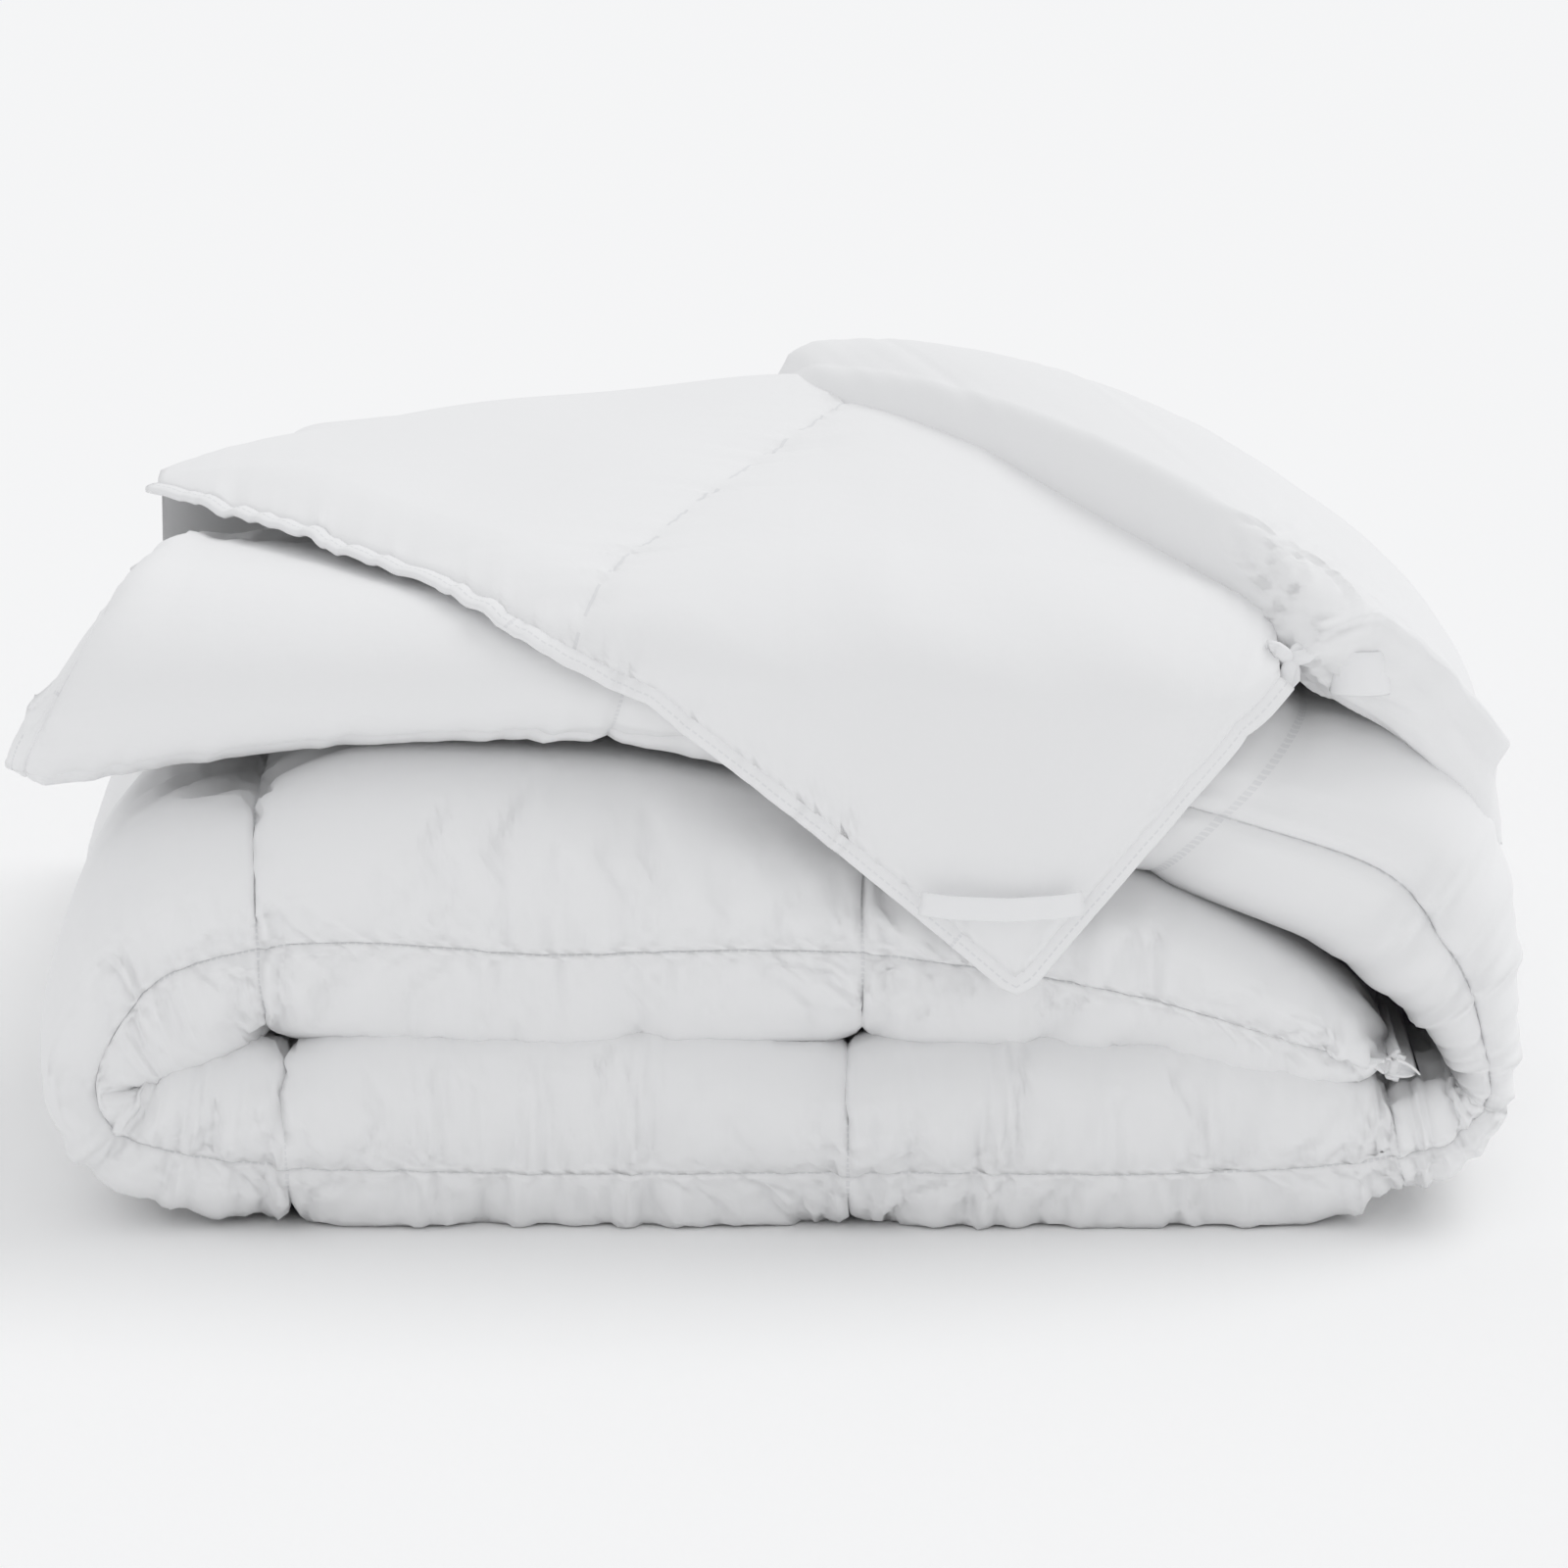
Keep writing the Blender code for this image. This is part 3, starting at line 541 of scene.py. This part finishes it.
lower_grid, threads, boxes, lower_puckers = close_end(
    lower_grid, threads, boxes, lower_puckers, ahead, outward[0], middle[0], first=True
)
lower = cloth_piece("folded_lower_thirds", lower_grid, threads, percale, boxes)
on_seam = np.minimum(np.abs(boxes - np.round(boxes)).min(axis=2), 1.0) * box_side < 0.0016
on_seam[:, -open_points:] = True
on_seam[: closed + 1], on_seam[-1] = True, True
puff(lower, on_seam)
pucker_up(lower, lower_grid.shape, lower_puckers)
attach(lower, "lower_thirds")
skins_and_inner_fill = ("shell_m", "shell_b", "shell_r", "lining_l", "filling_tuck", "filling_mi")
outer_fill = ("filling_l", "filling_b", "filling_right_turn_l")
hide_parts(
    *(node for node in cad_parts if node.startswith(skins_and_inner_fill)),
    *(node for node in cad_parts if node.startswith(outer_fill)),
)

# --------------------------------------------------------------------------------------------------
# The top third of the strip: it goes on from the right turn, over the tucked end, to the hemmed end
# at the left. Its outer ply ends at a slanting ridge, where it is turned back; behind the ridge the
# inner ply lies open to the back.

upper_lines = strip_lines(5.30, 8.0)
ridge_left, ridge_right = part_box("ridge_cover")
ridge_level_x = 0.0172
floor_points = 12


def ridge_at(x):
    """Y of the ridge at X: it slants forward to the left end."""
    share = np.clip((x - ridge_left[0]) / (ridge_level_x - ridge_left[0]), -0.15, 1.0)
    low, high = ridge_left[1], ridge_right[1] - 0.030
    return low + (high - low) * share * (1.35 - 0.35 * share)


middle, outward, half_thick = strip_rows(upper_lines)
rings, round_places, seams, box_places = [], [], [], []
for line, centre, facing, half in zip(upper_lines, middle, outward, half_thick):
    bulge = min(upper_bulge, 1.35 * half)
    front = cover_front + 0.25 * (upper_bulge - bulge)
    quarter = math.pi / 2 * math.sqrt((half * half + bulge * bulge) / 2)
    first_seam = np.interp(line, front_seam[:, 0], front_seam[:, 1]) / 90 * quarter
    to_back = quarter + cover_back - front - bulge
    top_end = cover_back + (ridge_at(centre[0]) - cover_back) * ease((line - 5.38) / 0.62)
    to_ridge = quarter + top_end - front - bulge
    second = first_seam + box_side
    third = second + min(box_side, 0.9 * (to_ridge - second))
    row_seams = [first_seam - 2 * box_side, first_seam - box_side, first_seam, second, third]
    place = between_seams(
        [-to_back, *row_seams, to_ridge], (7, 14, 34, 34, 14, 6), (1, 1, 0.62, 1.6, 1, 1)
    )
    n, y = strip_outline(place[:-20], half, bulge, front, cover_back)
    top_n, top_y = strip_outline(place[-20:], half, bulge, front, float(top_end))
    floor_y = float(top_end) + (cover_back - float(top_end)) * np.linspace(0.0, 1.0, floor_points)
    open_up = np.clip((floor_y - cover_back + back_taper) / back_taper, 0.0, 1.0) ** 2.4
    floor_n = -lining_half - max(0.0, half / 2 - 0.0048) * open_up
    n = np.concatenate([n, top_n, [half / 2 - back_edge], floor_n])
    y = np.concatenate([y, top_y, [top_y[-1]], floor_y])
    rings.append(centre + facing * n[:, None] + np.stack([0 * y, y, 0 * y], axis=1))
    round_places.append(np.concatenate([place, [to_ridge], to_ridge + floor_y - top_end]))
    seams.append(row_seams)
    stops = [-to_back, *row_seams, to_ridge + 0.3]
    box_places.append(np.interp(round_places[-1], stops, [-2.9, -2, -1, 0, 1, 2, 2.9]))
upper_grid, round_places, seams = np.array(rings), np.array(round_places), np.array(seams)
gather = 0.060 - 0.042 * ease((upper_lines - 5.7) / 0.5)
upper_grid, upper_puckers = quilted(upper_grid, upper_lines, round_places, seams, gather, seed=17)
slant = np.clip((upper_grid[:, :, 1] - cover_front) / 0.5, 0.0, 1.6) * 0.050 - 0.018
upper_grid[:, :, 0] += slant * ease((upper_lines[:, None] - 7.0) / 1.0)
along_strip = np.broadcast_to(upper_lines[:, None] * box_side, round_places.shape)
threads = np.stack([along_strip, round_places], axis=2)
box_places = np.array(box_places)
boxes = np.stack([np.broadcast_to(upper_lines[:, None], box_places.shape), box_places], axis=2)
ahead = (middle[-1] - middle[-2]) / np.linalg.norm(middle[-1] - middle[-2])
open_share = ease((upper_grid[-1, :, 1] - float(top_end) + 0.03) / 0.06)
level = middle[-1] - outward[-1] * (half_thick[-1] / 2 * open_share)[:, None]
upper_grid, threads, boxes, upper_puckers = close_end(
    upper_grid, threads, boxes, upper_puckers, ahead, outward[-1], level, first=False
)
upper = cloth_piece("folded_top_third", upper_grid, threads, percale, boxes)
on_seam = np.abs(boxes - np.round(boxes)).min(axis=2) * box_side < 0.0016
on_seam[:, -floor_points - 1 :] = True
on_seam[0], on_seam[-closed - 1 :] = True, True
puff(upper, on_seam)
pucker_up(upper, upper_grid.shape, upper_puckers)
top_nodes = ("shell_t", "lining_t", "filling_to", "filling_right_turn_u")
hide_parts(*(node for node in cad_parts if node.startswith(top_nodes)))
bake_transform(upper)

# --------------------------------------------------------------------------------------------------
# The turned-back ply: from the ridge it comes forward over the top, drapes over the front and ends in
# a finished corner that hangs point down. One thin quilted layer of the same percale, shaped in
# code, with its edges left for the hem.

sheet_left, sheet_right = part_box("turned_back_face")[0][0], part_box("turned_back_face")[1][0]
corner_low, corner_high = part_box("corner_face")
tip = (0.1142, corner_low[1] - 0.002, 0.1420)
sheet_top = corner_high[2]
slant_back_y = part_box("hem_turned_back_end")[1][1]
over_edge_x, over_edge_z = -0.0945, 0.306


def drape(x, travel, ridge, ridge_top, start):
    """Y and Z at X, a distance forward from the hidden start: over the top, round the front, down."""
    radius_y, radius_z = 0.085, 0.052
    top_end = cover_front + radius_y - 0.015
    top_run = start - top_end
    arc = math.pi / 2 * math.sqrt((radius_y**2 + radius_z**2) / 2)
    y = start - np.clip(travel, 0.0, top_run)
    front_top = sheet_top + 0.010 - 0.10 * np.maximum(0.0, x - 0.05)
    forward = np.clip((ridge - y) / (ridge - top_end), 0.0, 1.0)
    z = ridge_top + (front_top - ridge_top) * forward**1.6
    turn = np.clip((travel - top_run) / arc, 0.0, 1.0) * math.pi / 2
    y = y - radius_y * np.sin(turn)
    z = z - radius_z * (1 - np.cos(turn))
    fall = np.maximum(travel - top_run - arc, 0.0)
    return y - 0.10 * fall, z - fall * 0.995


columns = 132
sheet_x = np.linspace(sheet_left, sheet_right, columns)
rows = []
for x in sheet_x:
    under_pleat = x > 0.004
    ridge = float(ridge_at(min(x, ridge_level_x)))
    start = min(ridge, -0.010 - (x - 0.037) * 1.42) if under_pleat else ridge
    ridge_top = 0.350 + 0.010 * math.sin(min(1.0, (x - sheet_left) / 0.30) * math.pi / 2)
    ridge_top -= 0.25 * max(0.0, x - 0.10)
    if x < over_edge_x:
        share = (x - sheet_left) / (over_edge_x - sheet_left)
        end_y = slant_back_y + (cover_front - slant_back_y) * share
        length = start - end_y + 0.020 * ease((x - sheet_left) / 0.2)
        end_z = None
    elif x < tip[0]:
        share = (x - over_edge_x) / (tip[0] - over_edge_x)
        end_z = over_edge_z + (tip[2] - over_edge_z) * share * (0.90 + 0.10 * share)
    else:
        end_z = tip[2] + (0.292 - tip[2]) * (x - tip[0]) / (sheet_right - tip[0])
    if end_z is not None:
        trial = np.linspace(0.0, 0.9, 600)
        _, z = drape(x, trial, ridge, ridge_top, start)
        length = float(np.interp(-end_z, -z, trial))
    rows.append((x, ridge, ridge_top, max(0.02, length), under_pleat, start))

lengths = np.array([row[3] for row in rows])
near_turn = np.abs(sheet_x - over_edge_x) < 0.045
smoothed = np.convolve(np.pad(lengths, 7, mode="edge"), np.ones(15) / 15, mode="valid")
lengths = np.where(near_turn, smoothed, lengths)
rows = [(*row[:3], length, *row[4:]) for row, length in zip(rows, lengths)]

steps = 84
grid_top, runs = [], []
for x, ridge, ridge_top, length, _, start in rows:
    travel = np.linspace(0.0, 1.0, steps) * length
    y, z = drape(x, travel, ridge, ridge_top, start)
    grid_top.append(np.stack([np.full(steps, x), y, z], axis=1))
    runs.append(travel)
grid_top, runs = np.array(grid_top), np.array(runs)
facing = -grid_normals(grid_top)
facing *= np.sign(facing[columns // 2, 5, 2])
lengths = np.array([row[3] for row in rows])[:, None]
top_x, top_y, top_z = grid_top[:, :, 0], grid_top[:, :, 1], grid_top[:, :, 2]
to_side = np.minimum((top_x - sheet_left) * 0.8, (sheet_right - top_x) * 0.8) + 0.003
to_hem = np.minimum(lengths - runs, to_side)
seam_a, seam_b = np.array([-0.100, cover_front]), np.array([0.052, 0.010])
seam_way = (seam_b - seam_a) / np.linalg.norm(seam_b - seam_a)
across_seam = (top_x - seam_a[0]) * seam_way[1] - (top_y - seam_a[1]) * seam_way[0]
to_seam = np.abs(across_seam)
edge_thin = np.sqrt(np.clip(to_hem / 0.06, 0.0, 1.0))
thick = 0.004 + 0.017 * edge_thin * (1 - 0.55 * quilt_depth(to_seam, 0.07))
bend_down = 0.012 * ease(1 - to_hem / 0.05)
wave = ripple(top_x * 1.3 - top_z * 0.6, 71) * 0.0026 * np.exp(-to_hem / 0.016)
wave += ripple(top_y, 72) * 0.0022 * np.exp(-to_seam / 0.018)
wave += 0.0011 * np.sin(top_x * 41 + top_z * 23) * np.sin(top_z * 37 - runs * 19 + 1)
upper_face = grid_top + facing * (-0.006 + 0.5 * thick + wave - 0.25 * bend_down)[:, :, None]
under_face = grid_top + facing * (-0.006 - 0.5 * thick + wave - 0.25 * bend_down)[:, :, None]
roll = np.linspace(-math.pi / 2, math.pi / 2, 12)[1:-1]
rings = []
for i, (x, ridge, _, _, under_pleat, _) in enumerate(rows):
    high, low = upper_face[i, 0], under_face[i, 0]
    if under_pleat:
        back = [low + (high - low) * t for t in np.linspace(0.1, 0.9, 10)]
    else:
        floor = 0.2760 + 0.02 * ease((x - sheet_left) / 0.2)
        centre_z, tall = (high[2] + floor) / 2, (high[2] - floor) / 2
        back = [
            np.array([x, ridge + 0.028 * math.cos(t), centre_z + tall * math.sin(t)]) for t in roll
        ]
    rings.append(np.concatenate([under_face[i, ::-1], np.array(back), upper_face[i]]))
rings = np.array(rings)
steps_round = np.linalg.norm(np.diff(rings, axis=1, prepend=rings[:, :1]), axis=2)
place = np.cumsum(steps_round, axis=1)
threads = np.stack([np.broadcast_to(sheet_x[:, None], place.shape), place], axis=2)
signed = np.zeros(rings.shape[:2])
signed[:, :steps], signed[:, -steps:] = across_seam[:, ::-1], across_seam
signed[:, steps:-steps] = 0.1
on_seam = np.broadcast_to(0.35 + 0.3 * np.linspace(0, 1, signed.shape[1]), signed.shape)
boxes = np.stack([np.clip(signed / box_side, -0.8, 0.8), on_seam], axis=2)
turned = cloth_piece("turned_back_ply", rings, threads, percale, boxes)
turned_nodes = ("turned_back", "filling_turned", "ridge", "filling_ridge", "corner_f", "corner_b")
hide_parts(*(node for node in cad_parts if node.startswith(turned_nodes)))
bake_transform(turned)

# --------------------------------------------------------------------------------------------------
# Hems: where the plies end, their edges are turned in and topstitched as a narrow flat band of the
# same cotton. They run round both ends of the strip, along its open back edges, and round the
# turned-back corner.

hem_width, hem_thick = 0.011, 0.0046
hem_cotton = cotton("hem_cotton", (0.905, 0.906, 0.910), (0.882, 0.883, 0.888), 0.78, 0.06, 0.18)


def unit(directions):
    return directions / np.maximum(np.linalg.norm(directions, axis=1, keepdims=True), 1e-9)


def edge_band(
    name, path, facing, sink=0.0035, width=hem_width, thick=hem_thick, material=hem_cotton
):
    """A flat sewn band along a path, facing the way the cloth faces, its middle sunk from the edge."""
    path, facing = np.array(path, float), np.array(facing, float)
    steps_along = np.concatenate([[0.0], np.cumsum(np.linalg.norm(np.diff(path, axis=0), axis=1))])
    even = np.linspace(0.0, steps_along[-1], max(8, int(steps_along[-1] / 0.004)))
    path = np.stack([np.interp(even, steps_along, path[:, c]) for c in range(3)], axis=1)
    facing = unit(np.stack([np.interp(even, steps_along, facing[:, c]) for c in range(3)], axis=1))
    ahead = unit(np.gradient(path, axis=0))
    out = unit(np.cross(ahead, facing))
    wave = ripple(even, len(name)) * 0.0007
    turn = np.linspace(0, 2 * math.pi, 12, endpoint=False)
    wide, high = np.cos(turn), np.sin(turn)
    wide, high = np.sign(wide) * np.abs(wide) ** 0.6, np.sign(high) * np.abs(high) ** 0.8
    centre = path - out * sink + facing * wave[:, None]
    grid = centre[:, None] + out[:, None] * (wide * width / 2)[None, :, None]
    grid = grid + facing[:, None] * (high * thick / 2)[None, :, None]
    shape = (len(even), 12)
    threads = [np.broadcast_to(even[:, None], shape), np.broadcast_to(wide * width, shape)]
    threads = np.stack(threads, axis=2)
    topstitch = 0.0022
    sewn = np.stack([threads[:, :, 0], threads[:, :, 1] + topstitch], axis=2) / box_side
    made = cloth_piece(name, grid, threads, material, sewn)
    return made


edge_path = (upper_face[:, -1] + under_face[:, -1]) / 2
edge_facing = facing[:, -1]
band = edge_band("turned_back_hem", edge_path, -edge_facing)
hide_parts("hem_turned_back_end", "hem_corner_end_side", "hem_corner_long_side")
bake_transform(band)



def end_band(name, ring, next_ring, **sizes):
    """A band round the end of the strip, laid on the cloth beside that end."""
    return edge_band(name, ring, np.cross(np.gradient(ring, axis=0), ring - next_ring), **sizes)


to_ridge_top = upper_grid.shape[1] - floor_points - 6
band = end_band(
    "left_end_hem",
    upper_grid[-closed - 1, :to_ridge_top],
    upper_grid[-closed - 2, :to_ridge_top],
    sink=0.0045,
)
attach(band, "top_third")
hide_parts("hem_left_end")
band = end_band(
    "tucked_end_hem",
    lower_grid[closed, :-open_points],
    lower_grid[closed + 1, :-open_points],
    sink=0.002,
    width=0.007,
    thick=0.0036,
)
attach(band, "lower_thirds")
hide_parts("hem_tucked_end")
for name, column, node in (
    ("back_hem_outer", -open_points - 1, "outer"),
    ("back_hem_inner", 0, "inner"),
):
    side = -1.0 if column == 0 else 1.0
    back_line = lower_grid[closed:, column]
    facing_back = np.cross(np.gradient(back_line, axis=0), (0, side, 0))
    band = edge_band(name, back_line, facing_back * side, sink=0.002)
    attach(band, "lower_thirds")
    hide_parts(f"hem_back_lower_thirds_{node}")
back_line = upper_grid[4:-closed, 0]
facing_back = np.cross(np.gradient(back_line, axis=0), (0, -1, 0))
band = edge_band("back_hem_top", back_line, -facing_back, sink=0.002)
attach(band, "top_third")
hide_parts("hem_back_top_third")

# --------------------------------------------------------------------------------------------------
# The puffed pleat: the outer ply's long side rolls over at the right and is drawn together into the
# side tie, so small gathers fan out from the knot. Cotton over fill, its hem along the back edge.

# Each row: X, then Z of the under and the upper side, and Y of the front and the back edge.
pleat_rows = np.array([
    (-0.010, 0.334, 0.350, 0.020, 0.110),
    (0.010, 0.330, 0.368, -0.012, 0.140),
    (0.037, 0.326, 0.375, -0.050, 0.170),
    (0.090, 0.318, 0.380, -0.130, 0.190),
    (0.143, 0.308, 0.377, -0.212, 0.200),
    (0.200, 0.298, 0.365, -0.300, 0.200),
    (0.234, 0.290, 0.352, -0.345, 0.190),
    (0.264, 0.276, 0.335, -0.372, 0.180),
    (0.304, 0.248, 0.306, -0.378, 0.160),
    (0.333, 0.216, 0.272, -0.366, 0.140),
    (0.352, 0.184, 0.236, -0.345, 0.110),
    (0.362, 0.160, 0.200, -0.320, 0.080),
])
knot = np.array((0.2480, -0.3800, 0.2940))
across_x = np.linspace(pleat_rows[0, 0], pleat_rows[-1, 0], 120)
under, over, front_edge, back_edge = read_smooth(pleat_rows, across_x).T
nose_points, top_points, reach = 34, 59, 0.026
rings, roll_turn = [], np.linspace(-math.pi / 2, math.pi / 2, nose_points)
for x, low, high, near, far in zip(across_x, under, over, front_edge, back_edge):
    tall = (high - low) / 2
    nose_y = near + reach * (1 - np.cos(roll_turn))
    nose_z = low + tall * (1 + np.sin(roll_turn))
    t = np.linspace(0, 1, top_points + 1)[1:]
    top_y = near + reach + (far - near - reach) * t
    crown = 0.006 * np.sin(math.pi * np.minimum(1.0, 2.2 * t))
    top_z = high + crown - (high - low + 0.010) * ease((t - 0.25) / 0.75) ** 1.2
    floor_y = np.linspace(far, near + reach, 24)[1:-1]
    floor_z = np.interp(floor_y, (near + reach, far), (low, low - 0.012))
    y = np.concatenate([nose_y, top_y, floor_y])
    z = np.concatenate([nose_z, top_z, floor_z])
    rings.append(np.stack([np.full(y.shape, x), y, z], axis=1))
pleat_grid = np.array(rings)
from_end = np.minimum(across_x - across_x[0], across_x[-1] - across_x)
end_in = np.sqrt(np.clip(from_end / 0.012, 0.0, 1.0))
centre_line = pleat_grid.mean(axis=1, keepdims=True)
shrink = np.stack([np.ones_like(end_in), 0.75 + 0.25 * end_in, end_in], axis=1)
pleat_grid = centre_line + (pleat_grid - centre_line) * shrink[:, None]
steps_round = np.linalg.norm(np.diff(pleat_grid, axis=1, prepend=pleat_grid[:, :1]), axis=2)
place = np.cumsum(steps_round, axis=1)
from_knot = pleat_grid - knot
away = np.linalg.norm(from_knot, axis=2)
fan = np.arctan2(from_knot[:, :, 0], -from_knot[:, :, 1] + from_knot[:, :, 2] * 0.8)
made = np.random.default_rng(5)
gathers = sum(
    share * np.sin(fan * folds + made.uniform(0, 6))
    for folds, share in ((14, 0.5), (23, 0.6), (34, 0.5))
)
swell = np.exp(-away / 0.060) * (1 - np.exp(-away / 0.012))
dent = -0.014 * np.exp(-((away / 0.034) ** 2))
crease_x = (0.250, 0.270, 0.288, 0.310, 0.330, 0.352)
crease_z = np.interp(pleat_grid[:, :, 0], crease_x, (0.293, 0.306, 0.310, 0.292, 0.269, 0.236))
in_front = ease((pleat_grid[:, :, 0] - 0.255) / 0.02) * ease((-0.25 - pleat_grid[:, :, 1]) / 0.06)
crease = -0.011 * np.exp(-(((pleat_grid[:, :, 2] - crease_z) / 0.0055) ** 2)) * in_front
soft = 0.0005 * ripple(place * 0.5 + across_x[:, None] * 0.8, 91)
shift = 0.0034 * gathers * swell + dent + crease + soft
pleat_grid = pleat_grid + grid_normals(pleat_grid) * shift[:, :, None]
threads = np.stack([np.broadcast_to(across_x[:, None], place.shape), place], axis=2)
boxes = np.full((*place.shape, 2), 0.4)
pleat = cloth_piece("puffed_pleat", pleat_grid, threads, percale, boxes)
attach(pleat, "top_third")
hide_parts("pleat_face", "pleat_backing", "filling_pleat")

back_column = nose_points + top_points - 1
band = end_band(
    "long_side_hem", pleat_grid[:, back_column], pleat_grid[:, back_column - 3], sink=0.001
)
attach(band, "top_third")
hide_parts("hem_long_side_right")

# --------------------------------------------------------------------------------------------------
# Tapes and label: a twill tape sewn flat across the hanging corner, a short tape loop beside the
# knot, the knot of the tie itself, and a blank woven label on the back hem. All are white cotton
# tape, stitched down at their ends.

tape_cotton = cotton(
    "tape_cotton",
    (0.905, 0.906, 0.912),
    (0.88, 0.882, 0.888),
    0.7,
    0.04,
    0.08,
    along=1500.0,
    across=380.0,
    sewn=False,
)


def tape(name, path, facing, width, thick, body, replaced):
    """A length of tape on a body, laid along a path."""
    strip = edge_band(name, path, facing, sink=0.0, width=width, thick=thick, material=tape_cotton)
    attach(strip, body)
    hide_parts(replaced)
    return strip


loop_z = 0.182
reach_left = tip[0] - (loop_z - tip[2]) * 1.20
reach_right = tip[0] + (loop_z - tip[2]) * 0.80
t = np.linspace(0, 1, 24)
sag = np.sin(math.pi * t) ** 0.7
path = np.stack(
    [reach_left + (reach_right - reach_left) * t, -0.4245 - 0.0060 * sag, loop_z - 0.002 * sag],
    axis=1,
)
facing_out = np.tile((0, -1.0, 0.02), (24, 1))
tape("corner_tape", path, facing_out, 0.012, 0.0022, "corner_loop_tape", "corner_loop")
loop_low, loop_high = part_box("side_loop")
path = np.stack([
    loop_low[0] + (loop_high[0] - loop_low[0]) * (0.5 - 0.5 * np.cos(math.pi * t)),
    loop_high[1] - (loop_high[1] - loop_low[1]) * np.sin(math.pi * t) ** 0.6 * 1.10,
    (loop_low[2] + loop_high[2]) / 2 - 0.006 + 0 * t,
], axis=1)
facing_out = np.stack([-np.cos(math.pi * t), -np.sin(math.pi * t) - 0.05, 0.22 + 0 * t], axis=1)
tape("side_tape", path, facing_out, 0.022, 0.0018, "side_loop_tape", "side_loop")

turn = np.linspace(0, 2 * math.pi, 64)
wraps = np.stack([
    knot[0] + 0.0065 * (np.sin(turn) + 0.9 * np.sin(2 * turn)),
    knot[1] - 0.0035 * np.sin(3 * turn),
    knot[2] + 0.0065 * (np.cos(turn) - 0.9 * np.cos(2 * turn)),
], axis=1)
facing_out = np.tile((0, -1.0, 0), (64, 1))
knot_piece = edge_band(
    "tie_wraps", wraps, facing_out, sink=0.0, width=0.0075, thick=0.0060, material=tape_cotton
)
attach(knot_piece, "top_third")
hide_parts("tie_knot")

label_low, label_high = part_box("care_label")
label_width = label_high[0] - label_low[0]
path = np.stack([
    np.full(16, (label_low[0] + label_high[0]) / 2),
    np.full(16, label_high[1] - 0.0004),
    np.linspace(label_high[2], label_low[2], 16),
], axis=1)
facing_out = np.tile((0, 1.0, 0), (16, 1))
tape("blank_label", path, facing_out, label_width, 0.0010, "label", "care_label")
